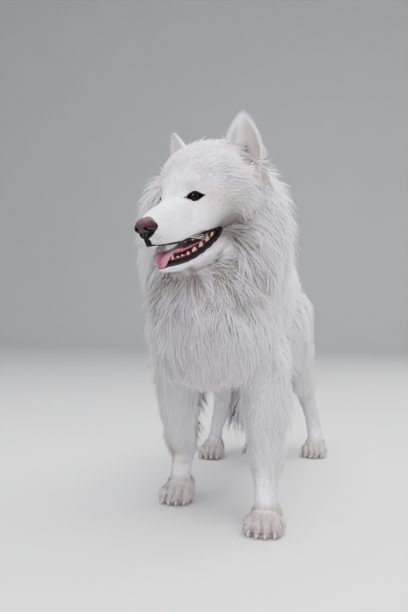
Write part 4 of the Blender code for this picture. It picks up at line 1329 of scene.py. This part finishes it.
# Shares of a foot's length ahead of the toe, and the height, of the points of a claw
CLAW_LINE = [(0.18, 0.0115), (0.27, 0.0105), (0.325, 0.0070), (0.335, 0.0026)]
CLAW_RADII = (0.0022, 0.0019, 0.0005)
WHISKER_RADIUS = 0.00022
# Half length of a cheek tooth, how much longer the hind ones are, half width and point
CHEEK_TOOTH, HIND_LONGER, CHEEK_TOOTH_SHAPE = 0.0036, 0.0020, (0.0024, 0.45)
LOWER_LIP_RADIUS, UPPER_LIP_RADIUS = 0.0046, 0.0021
LOWER_GUM_RADIUS, UPPER_GUM_RADIUS = 0.0036, 0.0034
# How far the rims of the lids stand out of the eye, their radius, and how much more it is at the corners
RIM_OUT, RIM_RADIUS, RIM_THICKER = 0.0026, 0.0011, 0.0009
CORNEA_BULGE = 0.055


def tube(points, radii, sides=14, flat=1.0):
    """Vertices and faces of a round bar along points. Flat is its height as a share of its width."""
    points, radii = np.asarray(points, float), np.asarray(radii, float)
    along = unit(np.gradient(points, axis=0))
    side = unit(np.cross(along, np.array((0.0, 0.0, 1.0))))
    angle, radii = circle(sides), radii[:, None]
    top = np.cross(side, along)
    return ring_solid(swept(points, side, top, radii * np.cos(angle), flat * radii * np.sin(angle)))


def whole_lip(edge, count, inwards=0.0, up=0.0):
    """Points of a lip from corner to corner, moved in from its edge and up."""
    left = even_rows(edge, count)
    along = unit(np.gradient(left, axis=0))
    inner = np.stack([-along[:, 1], along[:, 0], np.zeros(count)], axis=1)
    inner[:, 0] = -np.abs(inner[:, 0])
    left = left + unit(inner) * inwards + np.array((0.0, 0.0, up))
    left[0, 0] = 0.0
    right = left[:0:-1] * np.array((-1.0, 1.0, 1.0))
    return np.vstack([right, left])


def make_eyes(material):
    for name, side in zip(("left", "right"), SIDES):
        vertices, faces = ball((0, 0, 0), [1.0] * 3, segments=64, rings=48)
        angle = np.arccos(np.clip(vertices[:, 2], -1.0, 1.0))
        bulge = 1.0 + CORNEA_BULGE * smooth(angle, 0.85, 0.30)
        vertices = turned(aim(mirrored(EYE_AIM, side)), vertices * (EYE_RADIUS * bulge)[:, None])
        eye = new_object(f"eyeball_{name}", in_head(vertices + np.array(mirrored(EYE_PLACE, side))), faces)
        put_attribute(eye.data, "from_pupil", angle)
        finish_piece(eye, material, ["eye_" + name])


def make_lid_rims(material):
    """The dark wet edges of the lids, round each opening and thicker at its corners."""
    parts = []
    count, sides = 80, 12
    angle, turns = circle(count), circle(sides)
    across, up = lid_edge(angle, 1.02)
    ahead = np.sqrt(np.maximum((EYE_RADIUS + RIM_OUT) ** 2 - across**2 - up**2 + 0.00004, 0.00004))
    thick = (RIM_RADIUS + RIM_THICKER * np.abs(np.cos(angle)) ** 8)[:, None]
    for side in SIDES:
        place, turn = eye_frame(side)
        ring = np.stack([across, up, ahead], axis=1) @ turn.T + place
        tangent = unit(np.roll(ring, -1, axis=0) - np.roll(ring, 1, axis=0))
        out = unit(ring - place)
        rings = swept(ring, np.cross(tangent, out), out, thick * np.cos(turns), thick * np.sin(turns))
        faces = []
        for n in range(count):
            here, after = n * sides, (n + 1) % count * sides
            for i in range(sides):
                j = (i + 1) % sides
                faces.append((here + i, after + i, after + j, here + j))
        parts.append((rings.reshape(-1, 3), faces))
    vertices, faces = merged(parts)
    finish_piece(new_object("lid_rims", in_head(vertices), faces), material)


def make_nose(material):
    parts = [ball(place, radii, None, segments, rings) for place, radii, segments, rings in NOSE_BALLS]
    cutters = []
    for side in SIDES:
        parts += [ball(mirrored(place, side), radii) for place, radii in NOSE_WINGS]
        turn = Matrix.Rotation(NOSTRIL_LEAN * side, 4, "Y")
        for place, radii in NOSTRIL_CUTS:
            cutters.append(new_object("nostril", *ball(mirrored(place, side), radii, turn)))
    nose = boolean(fused("nose_leather", parts, 0.0007, 5), "DIFFERENCE", cutters)
    points, normals = points_of(nose.data), normals_of(nose.data)
    groove = np.exp(-((points[:, 0] / NOSE_GROOVE) ** 2)) * smooth(points[:, 1], -0.090, -0.096)
    groove *= smooth(points[:, 2], -0.026, -0.034)
    points = points - normals * (NOSE_GROOVE * groove)[:, None]
    set_points(nose.data, in_head(points))
    put_attribute(nose.data, "in_head", points)
    nose.data.shade_smooth()
    finish_piece(nose, material, ["nose"])


def make_tongue(material):
    """A tongue that lies on the jaw and hangs over the lower lip, with a groove along its middle."""
    count, sides = 60, 44
    row = even_rows(TONGUE_ROWS, count)
    along = unit(np.gradient(row[:, :3], axis=0))
    across = unit(np.cross(along, np.array((0.0, 0.0, 1.0))) + np.array((1e-6, 0.0, 0.0)))
    across = np.where(across[:, :1] < 0, -across, across)
    top = np.cross(along, across)
    top = np.where(top[:, 2:] - 0.8 * top[:, 1:2] < 0, -top, top)
    sweep, bow = np.cos(circle(sides)), np.sin(circle(sides))
    wide = row[:, 3:4] * sweep
    ripple = 0.0006 * np.sin(np.linspace(0.0, 19.0, count))[:, None] * np.abs(sweep) ** 3
    groove = -0.0016 * np.exp(-((wide / 0.0030) ** 2)) * (bow > 0)
    edge = 0.0030 * np.abs(sweep) ** 4 * smooth(np.linspace(0, 1, count), 0.95, 0.5)[:, None]
    high = row[:, 4:5] * bow + groove + edge + ripple
    tongue = new_object("tongue_flesh", *ring_solid(swept(row[:, :3], across, top, wide, high), 0.2))
    put_attribute(tongue.data, "in_head", points_of(tongue.data))
    move_to_head(tongue)
    finish_piece(tongue, material, ["tongue"])


def melted_piece(name, parts, voxel, rounds, material):
    """Closed pieces of the head's frame, melted into one and finished."""
    obj = fused(name, parts, voxel, rounds)
    move_to_head(obj)
    obj.data.shade_smooth()
    finish_piece(obj, material)


def make_lips(material):
    count = 90
    place = np.abs(np.linspace(-1.0, 1.0, 2 * count - 1))
    crimp = 1.0 + 0.10 * np.sin(place * 55.0) * smooth(place, 0.25, 0.55)
    lower_radii = LOWER_LIP_RADIUS * crimp * (1.0 - 0.25 * smooth(place, 0.9, 1.0))
    lower = tube(whole_lip(LOWER_LIP, count), lower_radii, 16, 1.15)
    upper_radii = UPPER_LIP_RADIUS * (1.0 + 0.15 * place)
    upper = tube(whole_lip(UPPER_LIP, count, 0.0022, 0.0010), upper_radii, 14, 1.1)
    corners = [ball(mirrored(LIP_CORNER[0], side), LIP_CORNER[1]) for side in SIDES]
    melted_piece("lips", [lower, upper, *corners], 0.0009, 2, material)


def make_gums(material):
    count = 60
    lower = tube(whole_lip(LOWER_LIP, count, 0.0062, 0.0012), np.full(2 * count - 1, LOWER_GUM_RADIUS))
    upper = tube(whole_lip(UPPER_LIP, count, 0.0090, 0.0040), np.full(2 * count - 1, UPPER_GUM_RADIUS))
    floor, back = ball(*MOUTH_FLOOR, None, 40, 20), ball(*MOUTH_BACK, None, 32, 20)
    melted_piece("gums", [lower, upper, floor, back], 0.0012, 3, material)


def make_teeth(material):
    """The teeth that the open mouth shows: cheek teeth, canines and front teeth."""
    teeth = []
    for edge, inwards, up, rise, places, tall, canine in TOOTH_ROWS:
        line = whole_lip(edge, 101, inwards, up)
        for side in (-1, 1):
            for n, place in enumerate(places):
                root = line[100 + side * int(place * 100)]
                ahead = unit(line[100 + side * min(int(place * 100) + 2, 100)] - root)
                size = tall * (0.75 + 0.35 * smooth(place, 0.3, 0.65))
                half = CHEEK_TOOTH + HIND_LONGER * (n > 2)
                teeth.append(tooth(root, ahead, rise, size, half, *CHEEK_TOOTH_SHAPE))
            ahead = unit(np.array((0.15 * side, -0.2, 0.0)))
            teeth.append(tooth(line[100 + side * 22], ahead, rise, canine, *CANINE_SHAPE))
            for n in range(3):
                root, ahead = line[100 + side * (3 + 5 * n)], np.array((1.0, 0.0, 0.0))
                teeth.append(tooth(root, ahead, rise, FRONT_TOOTH_HEIGHT, *FRONT_TOOTH_SHAPE))
    obj = new_object("teeth", *merged(teeth))
    move_to_head(obj)
    finish_piece(obj, material)


def tooth(root, ahead, rise, tall, long_half, wide_half, point):
    """A tooth that tapers to a share of its base, and leans back a little."""
    side = np.cross(ahead, np.array((0.0, 0.0, 1.0)))
    t, angle = np.linspace(0.0, 1.0, 7), circle(12)
    size = ((1.0 - (1.0 - point) * t**1.3) * (1.0 - 0.75 * smooth(t, 0.80, 1.0)))[:, None]
    middle = root + np.stack([np.zeros(7), 0.12 * tall * t * t, rise * tall * t], axis=1)
    ahead, side = np.tile(ahead, (7, 1)), np.tile(side, (7, 1))
    long, wide = long_half * size * np.cos(angle), wide_half * size * np.sin(angle)
    return ring_solid(swept(middle, ahead, side, long, wide), 0.3)


def make_claws(material):
    parts = []
    radii = np.interp(np.linspace(0.0, 1.0, 14), (0.0, 0.5, 1.0), CLAW_RADII)
    for (x, y), length, width in FEET.values():
        for step in (-1.0, -1 / 3, 1 / 3, 1.0):
            inner = 1.0 - abs(step)
            toe_x, toe_y = x + step * width * 0.34, y + length * (0.30 - 0.10 * inner)
            line = [(toe_x, toe_y - length * ahead, height) for ahead, height in CLAW_LINE]
            line[-1] = (toe_x, line[-1][1] - length * 0.012 * inner, line[-1][2])
            parts.append(tube(even_rows(line, 14), radii, 12, 1.25))
    finish_piece(new_object("claws", *merged(parts)), material)


def make_whiskers(material):
    rng = np.random.default_rng(SEED + 2)
    parts = []
    t = np.linspace(0.0, 1.0, 8)
    for side in SIDES:
        for n in range(8):
            y = -0.078 + 0.0048 * n + rng.uniform(-0.001, 0.001)
            root = np.array(((0.019 + 0.0010 * n) * side, y, -0.050 + rng.uniform(-0.008, 0.008)))
            heading = (side * rng.uniform(0.7, 1.0), rng.uniform(-0.1, 0.5), rng.uniform(-0.45, 0.05))
            long = rng.uniform(0.030, 0.058)
            line = root + unit(np.array(heading)) * (long * t)[:, None]
            line[:, 1] += 0.35 * long * t**2
            line[:, 2] -= 0.12 * long * t**2
            parts.append(tube(line, WHISKER_RADIUS * (1.0 - 0.75 * t), 5))
    vertices, faces = merged(parts)
    finish_piece(new_object("whiskers", in_head(vertices), faces), material)


# Materials

# White, and the warm painted shade deep in the coat at the tufts' roots
WHITE, WARM_PAINTED_ROOT_SHADE = (1.0, 1.0, 1.0), (0.90, 0.84, 0.82)
COAT_WHITE, UNDERCOAT_WHITE = (0.90, 0.875, 0.945), (0.88, 0.855, 0.905)
COAT_TONES = (0.84, 0.815, 0.895), (0.94, 0.915, 0.935)
# The fur's cream, the colour of its painted shade, and its rust stain
CREAM_FUR, SHADED_FUR, RUSTY_FUR = (0.50, 0.37, 0.29), (0.20, 0.165, 0.150), (0.42, 0.240, 0.185)
# The ear's pink lining, and the painted shade deep in its hollow
EAR_LINING, PAINTED_EAR_CANAL_SHADE = (0.56, 0.45, 0.44), (0.085, 0.050, 0.052)
FLECK, BLACK_SKIN, NAP_SHADE = (0.06, 0.05, 0.052), (0.0025, 0.0020, 0.0022), (0.55, 0.50, 0.48)
MOUTH_RED = (0.16, 0.035, 0.035)
# The nose's black, and its liver brown, whose lightness on top is partly painted light from above
NOSE_BLACK, NOSE_LIVER_AND_PAINTED_LIGHT = (0.0060, 0.0032, 0.0036), (0.105, 0.043, 0.050)
# The tongue's tones, and the painted shade in its middle groove
TONGUE_TONES, PAINTED_TONGUE_GROOVE_SHADE = ((0.29, 0.080, 0.135), (0.40, 0.135, 0.20)), (0.17, 0.035, 0.070)
LIP_TONES = (0.0018, 0.0014, 0.0020), (0.0070, 0.0050, 0.0062)
GUM_TONES = (0.11, 0.028, 0.032), (0.22, 0.070, 0.078)
TOOTH_TONES = (0.38, 0.28, 0.16), (0.50, 0.40, 0.27)
CLAW_TONES = (0.50, 0.42, 0.34), (0.66, 0.58, 0.50)
WHISKER_TONES = (0.80, 0.78, 0.76), (0.86, 0.85, 0.84)
FLOOR_TONES = (0.56, 0.56, 0.57), (0.60, 0.60, 0.605)
SKY_COLOUR, SKY_STRENGTH = (0.88, 0.90, 0.94, 1.0), 0.50
# Colours of the eye by their share of the way out from the middle of the pupil
EYE_STOPS = [
    (0.0, (0.001, 0.001, 0.001)), (0.25, (0.002, 0.001, 0.001)), (0.30, (0.022, 0.010, 0.005)),
    (0.56, (0.014, 0.006, 0.003)), (0.64, (0.003, 0.002, 0.002)), (0.78, (0.030, 0.018, 0.015)),
    (0.95, (0.060, 0.035, 0.030)),
]
IRIS_FIBRE = (0.004, 0.003, 0.003)


class Nodes:
    """Short ways to add and join the nodes of one tree."""

    def __init__(self, tree):
        self.tree = tree

    def add(self, kind, settings=None, **values):
        made = self.tree.nodes.new("ShaderNode" + kind)
        for name, value in (settings or {}).items():
            setattr(made, name, value)
        for name, value in values.items():
            self.feed(made.inputs[name.replace("_", " ")], value)
        return made

    def feed(self, socket, value):
        if isinstance(value, bpy.types.NodeSocket):
            self.tree.links.new(value, socket)
        else:
            socket.default_value = (*value, 1.0) if socket.type == "RGBA" else value

    def mask(self, name, output="Fac"):
        return self.add("Attribute", {"attribute_name": name}).outputs[output]

    def maths(self, operation, *values):
        made = self.add("Math", {"operation": operation})
        for socket, value in zip(made.inputs, values):
            self.feed(socket, value)
        return made.outputs[0]

    def mix(self, share, first, second, blend="MIX"):
        made = self.add("Mix", {"data_type": "RGBA", "blend_type": blend})
        for place, value in ((0, share), (6, first), (7, second)):
            self.feed(made.inputs[place], value)
        return made.outputs[2]

    def place(self):
        return self.add("TexCoord").outputs["Object"]

    def noise(self, vector, scale, detail=2.0):
        return self.add("TexNoise", Vector=vector, Scale=scale, Detail=detail).outputs["Fac"]

    def pebbles(self, vector, scale):
        return self.add("TexVoronoi", Vector=vector, Scale=scale).outputs["Distance"]

    def dress(self, shader, colour, height, strength, distance):
        """Gives a shader its colour and the bump of a height."""
        self.feed(shader.inputs["Base Color"], colour)
        bump = self.add("Bump", Strength=strength, Distance=distance, Height=height)
        self.feed(shader.inputs["Normal"], bump.outputs[0])


def new_group(name, inputs, outputs):
    tree = bpy.data.node_groups.new(name, "ShaderNodeTree")
    for label, kind, value in inputs:
        tree.interface.new_socket(name=label, in_out="INPUT", socket_type=kind).default_value = value
    for label, kind in outputs:
        tree.interface.new_socket(name=label, in_out="OUTPUT", socket_type=kind)
    return tree, Nodes(tree), tree.nodes.new("NodeGroupInput"), tree.nodes.new("NodeGroupOutput")


def fur_colour_group():
    """The coat's white with its cream, rust and black markings, its painted shade, and the lining of the
    ears with painted shade deep in them.
    """
    tree, nodes, given, out = new_group(
        "fur colour",
        [("Fur", "NodeSocketColor", (*COAT_WHITE, 1.0)), ("Patches", "NodeSocketFloat", 14.0)],
        [("Color", "NodeSocketColor")],
    )
    place = nodes.place()
    tone = nodes.mix(nodes.noise(place, given.outputs["Patches"], 3.0), *COAT_TONES)
    colour = nodes.mix(0.5, given.outputs["Fur"], tone)
    lining_and_canal_shade = nodes.mask("ear")
    fleck = nodes.maths("GREATER_THAN", nodes.noise(place, 900.0, 1.0), 0.52)
    # The tints in turn: cream, painted shade, rust, the ear's lining, painted shade deep in the ear, flecks
    # and black skin
    for share, tint in (
        (nodes.maths("MULTIPLY", nodes.mask("cream"), 0.85), CREAM_FUR),
        (nodes.maths("MULTIPLY", nodes.mask("painted_shade"), 0.90), SHADED_FUR),
        (nodes.mask("rust"), RUSTY_FUR),
        (nodes.maths("MULTIPLY", lining_and_canal_shade, 2.0), EAR_LINING),
        (nodes.maths("MULTIPLY_ADD", lining_and_canal_shade, 2.0, -1.0), PAINTED_EAR_CANAL_SHADE),
        (nodes.maths("MULTIPLY", fleck, nodes.mask("speckle")), FLECK),
        (nodes.mask("black"), BLACK_SKIN),
    ):
        colour = nodes.mix(share, colour, tint)
    nodes.feed(out.inputs["Color"], colour)
    return tree


def strand_group():
    """Fine hairs along each tuft: light and dark lines and their height."""
    tree, nodes, given, out = new_group(
        "hair strands",
        [("Hairs", "NodeSocketFloat", 7.0)],
        [("Shade", "NodeSocketFloat"), ("Height", "NodeSocketFloat")],
    )
    parts = nodes.add("SeparateXYZ", Vector=nodes.mask("strand", "Vector"))
    across = nodes.maths("MULTIPLY", parts.outputs[0], given.outputs["Hairs"])
    along = nodes.maths("MULTIPLY", parts.outputs[1], 0.8)
    lines = nodes.add("CombineXYZ", X=across, Y=along, Z=parts.outputs[2])
    hairs = nodes.noise(lines.outputs[0], 1.0)
    nodes.feed(out.inputs["Shade"], hairs)
    nodes.feed(out.inputs["Height"], hairs)
    return tree


def surface(name, roughness, **values):
    material = bpy.data.materials.new(name)
    material.use_nodes = True
    shader = material.node_tree.nodes["Principled BSDF"]
    shader.inputs["Roughness"].default_value = roughness
    for label, value in values.items():
        shader.inputs[label.replace("_", " ")].default_value = value
    return material, Nodes(material.node_tree), shader


def use_group(nodes, tree, **values):
    made = nodes.add("Group", {"node_tree": tree})
    for label, value in values.items():
        nodes.feed(made.inputs[label], value)
    return made


def fur_material(colours, strands):
    material, nodes, shader = surface(
        "fur", 0.70, Specular_IOR_Level=0.10, Subsurface_Weight=0.40,
        Subsurface_Radius=(0.0060, 0.0050, 0.0045), Subsurface_Scale=1.0,
    )
    colour = use_group(nodes, colours).outputs["Color"]
    hair = use_group(nodes, strands, Hairs=6.0)
    along = nodes.mask("along")
    # Each tuft darker towards its root: painted shade; then its own random tint and its fine hair lines
    shade = nodes.maths("MULTIPLY_ADD", along, 0.07, 0.93)
    shade = nodes.maths("MULTIPLY", shade, nodes.maths("MULTIPLY_ADD", nodes.mask("tint"), 0.30, 0.83))
    shade = nodes.maths("MULTIPLY", shade, nodes.maths("MULTIPLY_ADD", hair.outputs["Shade"], 0.16, 0.92))
    shade = nodes.add("CombineColor", Red=shade, Green=shade, Blue=shade).outputs[0]
    # Warm painted shade towards the roots
    colour = nodes.mix(1.0, colour, nodes.mix(along, WARM_PAINTED_ROOT_SHADE, WHITE), "MULTIPLY")
    colour = nodes.mix(1.0, colour, shade, "MULTIPLY")
    nodes.dress(shader, colour, hair.outputs["Height"], 0.22, 0.0004)
    return material


def skin_material(colours):
    material, nodes, shader = surface("short_fur", 0.70, Specular_IOR_Level=0.12)
    colour = use_group(nodes, colours, Fur=UNDERCOAT_WHITE).outputs["Color"]
    stretched = nodes.add("Mapping", Vector=nodes.place(), Scale=(1.0, 0.35, 1.0)).outputs[0]
    nap = nodes.noise(stretched, 620.0, 4.0)
    nap_share = nodes.maths("MULTIPLY", nap, nodes.maths("MULTIPLY_ADD", nodes.mask("black"), -0.14, 0.14))
    colour = nodes.mix(nap_share, colour, NAP_SHADE)
    nodes.dress(shader, nodes.mix(nodes.mask("mouth"), colour, MOUTH_RED), nap, 0.5, 0.0012)
    return material


def eye_material():
    material, nodes, shader = surface(
        "eye", 0.08, Specular_IOR_Level=0.10, Coat_Weight=0.10, Coat_Roughness=0.04
    )
    ramp = nodes.add("ValToRGB", Fac=nodes.maths("DIVIDE", nodes.mask("from_pupil"), 1.2))
    stops = ramp.color_ramp.elements
    for place, _ in EYE_STOPS[1:-1]:
        stops.new(place)
    stops[-1].position = EYE_STOPS[-1][0]
    for stop, (_, colour) in zip(stops, EYE_STOPS):
        stop.color = (*colour, 1.0)
    fibres = nodes.noise(nodes.place(), 1400.0, 3.0)
    colour = nodes.mix(nodes.maths("MULTIPLY", fibres, 0.35), ramp.outputs[0], IRIS_FIBRE)
    nodes.feed(shader.inputs["Base Color"], colour)
    return material


def wet_material(name, roughness, first, second, scale, bump_depth, **values):
    """Bare damp skin of two tones, with fine pebbles."""
    material, nodes, shader = surface(name, roughness, **values)
    place = nodes.place()
    colour = nodes.mix(nodes.noise(place, scale * 0.15, 3.0), first, second)
    nodes.dress(shader, colour, nodes.pebbles(place, scale), 0.5, bump_depth)
    return material


def nose_material():
    """Liver brown on top, black below and at the sides; the lighter top is partly the nose's own liver
    colour and partly painted light from above.
    """
    material, nodes, shader = surface(
        "nose", 0.42, Specular_IOR_Level=0.3, Coat_Weight=0.08, Coat_Roughness=0.3
    )
    parts = nodes.add("SeparateXYZ", Vector=nodes.mask("in_head", "Vector"))
    high = nodes.add("MapRange", Value=parts.outputs[2], From_Min=-0.0350, From_Max=-0.0215).outputs[0]
    middle = nodes.maths("ABSOLUTE", parts.outputs[0])
    inner = nodes.add("MapRange", Value=middle, From_Min=0.0170, From_Max=0.0095).outputs[0]
    # Lighter on the top and middle: partly the nose's own liver colour, partly painted light from above
    liver_and_painted_light = nodes.maths("MULTIPLY", high, nodes.maths("MULTIPLY_ADD", inner, 0.6, 0.4))
    place = nodes.place()
    patchy = nodes.maths("MULTIPLY_ADD", nodes.noise(place, 260.0, 3.0), 0.9, 0.55)
    colour = nodes.mix(nodes.maths("MULTIPLY", liver_and_painted_light, patchy), NOSE_BLACK, NOSE_LIVER_AND_PAINTED_LIGHT)
    nodes.dress(shader, colour, nodes.pebbles(place, 1150.0), 0.55, 0.0005)
    return material


def tongue_material():
    material, nodes, shader = surface(
        "tongue", 0.30, Coat_Weight=0.35, Coat_Roughness=0.15, Subsurface_Weight=0.15,
        Subsurface_Radius=(0.004, 0.0015, 0.001), Subsurface_Scale=1.0,
    )
    parts = nodes.add("SeparateXYZ", Vector=nodes.mask("in_head", "Vector"))
    groove = nodes.maths("SUBTRACT", parts.outputs[0], 0.006)
    groove = nodes.maths("MULTIPLY", nodes.maths("ABSOLUTE", groove), 160.0)
    place = nodes.place()
    colour = nodes.mix(nodes.noise(place, 120.0, 3.0), *TONGUE_TONES)
    # Painted shade in the tongue's middle groove
    colour = nodes.mix(nodes.maths("MINIMUM", groove, 1.0), PAINTED_TONGUE_GROOVE_SHADE, colour)
    nodes.dress(shader, colour, nodes.pebbles(place, 1500.0), 0.4, 0.0004)
    return material


def floor_material():
    material, nodes, shader = surface("studio_floor", 0.75)
    tone = nodes.noise(nodes.place(), 3.0, 4.0)
    nodes.feed(shader.inputs["Base Color"], nodes.mix(tone, *FLOOR_TONES))
    return material


# Studio: floor, lights and camera, as places in the frame of the solids

LIT_PLACE = (0.0, -0.1, 0.35)
# Each light: place, width, power and colour
SOFT_LIGHTS = {
    "sky": ((0.35, -0.5, 2.7), 2.6, 235.0, (0.98, 0.98, 1.0)),
    "open_side": ((-2.2, -1.7, 1.6), 1.8, 34.0, (0.94, 0.95, 1.0)),
    "front": ((1.4, -2.5, 0.8), 1.4, 62.0, (1.0, 0.98, 0.99)),
    "back": ((1.6, 2.0, 1.9), 1.4, 56.0, (1.0, 0.99, 0.98)),
    "window": ((0.06, -2.0, 1.28), 0.60, 30.0, (0.80, 0.90, 1.0)),
}
FLOOR_FRONT, FLOOR_SIDE, FLOOR_BACK, WALL_CURVE, WALL_TOP = -6.0, 7.0, 4.0, 1.6, 5.0
FLOOR_DROP = 0.0005


def make_floor():
    """A level floor that curves up into a wall behind the dog."""
    profile = [(FLOOR_FRONT, 0.0), (FLOOR_BACK, 0.0)]
    for n in range(1, 13):
        angle = math.pi / 2 * n / 12
        profile.append((FLOOR_BACK + WALL_CURVE * math.sin(angle), WALL_CURVE * (1.0 - math.cos(angle))))
    profile.append((FLOOR_BACK + WALL_CURVE, WALL_TOP))
    vertices = [(x, y, z - FLOOR_DROP) for y, z in profile for x in (-FLOOR_SIDE, FLOOR_SIDE)]
    faces = [(2 * n, 2 * n + 1, 2 * n + 3, 2 * n + 2) for n in range(len(profile) - 1)]
    floor = new_object("studio_floor", vertices, faces)
    floor.data.materials.append(floor_material())


def make_lights():
    """Soft lights all round, and a window that only the eyes mirror."""
    for name, (place, size, power, colour) in SOFT_LIGHTS.items():
        light = bpy.data.lights.new(name, "AREA")
        light.shape, light.size, light.energy, light.color = "DISK", size, power, colour
        obj = linked(name, light)
        obj.location = place
        obj.rotation_euler = (Vector(place) - Vector(LIT_PLACE)).to_track_quat("Z", "Y").to_euler()
        obj.visible_glossy = name == "window"
        obj.visible_diffuse = name != "window"
    eyes = bpy.data.collections.new("eyes_lit_by_window")
    for side in ("left", "right"):
        eyes.objects.link(bpy.data.objects[f"eyeball_{side}"])
    bpy.data.objects["window"].light_linking.receiver_collection = eyes
    world = bpy.data.worlds.new("studio")
    world.use_nodes = True
    sky = world.node_tree.nodes["Background"]
    sky.inputs["Color"].default_value = SKY_COLOUR
    sky.inputs["Strength"].default_value = SKY_STRENGTH
    bpy.context.scene.world = world


CAMERA_PLACE = (0.2943, -1.1905, 0.40)
CAMERA_HEADING = (-0.254, 0.967)
CAMERA_DIP = math.radians(0.51)


def make_camera():
    camera = bpy.data.cameras.new("camera")
    camera.lens = 40.0
    camera.sensor_width = 36.0
    camera.clip_start = 0.05
    obj = linked("camera", camera)
    obj.location = Vector(CAMERA_PLACE) + SHIFT
    level = math.cos(CAMERA_DIP)
    heading = Vector((CAMERA_HEADING[0] * level, CAMERA_HEADING[1] * level, -math.sin(CAMERA_DIP)))
    obj.rotation_euler = heading.to_track_quat("-Z", "Y").to_euler()
    bpy.context.scene.camera = obj


# The dog

FLESH = ["head", "jaw", "neck", "torso", "tail", "ear_left", "ear_right", "thigh_left", "thigh_right"]
FLESH += [f"{part}_{foot}" for part in ("leg", "paw") for foot in FEET]


def mouth_mask(points):
    """1 on the walls of the hollow between the jaws."""
    local = head_local(points)
    lx, ly, lz = local.T
    rows = np.array(MOUTH_ROWS)
    half = np.interp(ly, rows[:, 0], rows[:, 3]) + 0.0030
    inside = (np.abs(lx) < half) & (ly > -0.0805) & (ly < MOUTH_CORNER_Y)
    inside &= (lz < lip_height(UPPER_LIP, ly) + 0.010) & (lz > lip_height(LOWER_LIP, ly) + 0.002)
    return inside.astype(float)


colours, strands = fur_colour_group(), strand_group()
skin = whole_skin()
skin_points = points_of(skin.data)
for mask, values in markings(skin_points).items():
    put_attribute(skin.data, mask, values)
put_attribute(skin.data, "mouth", mouth_mask(skin_points))
grow_coat(skin, fur_material(colours, strands))
finish_piece(skin, skin_material(colours), FLESH)

black_skin = wet_material(
    "black_skin", 0.36, *LIP_TONES, 900.0, 0.0004,
    Coat_Weight=0.1, Coat_Roughness=0.2, Specular_IOR_Level=0.25,
)
make_eyes(eye_material())
make_lid_rims(black_skin)
make_nose(nose_material())
make_tongue(tongue_material())
make_lips(black_skin)
make_gums(wet_material("gum", 0.30, *GUM_TONES, 700.0, 0.0003, Coat_Weight=0.4))
make_teeth(wet_material("tooth", 0.30, *TOOTH_TONES, 500.0, 0.0001, Coat_Weight=0.3))
make_claws(wet_material("claw", 0.42, *CLAW_TONES, 600.0, 0.0002))
make_whiskers(wet_material("whisker", 0.5, *WHISKER_TONES, 400.0, 0.0001))
make_floor()
make_lights()
make_camera()
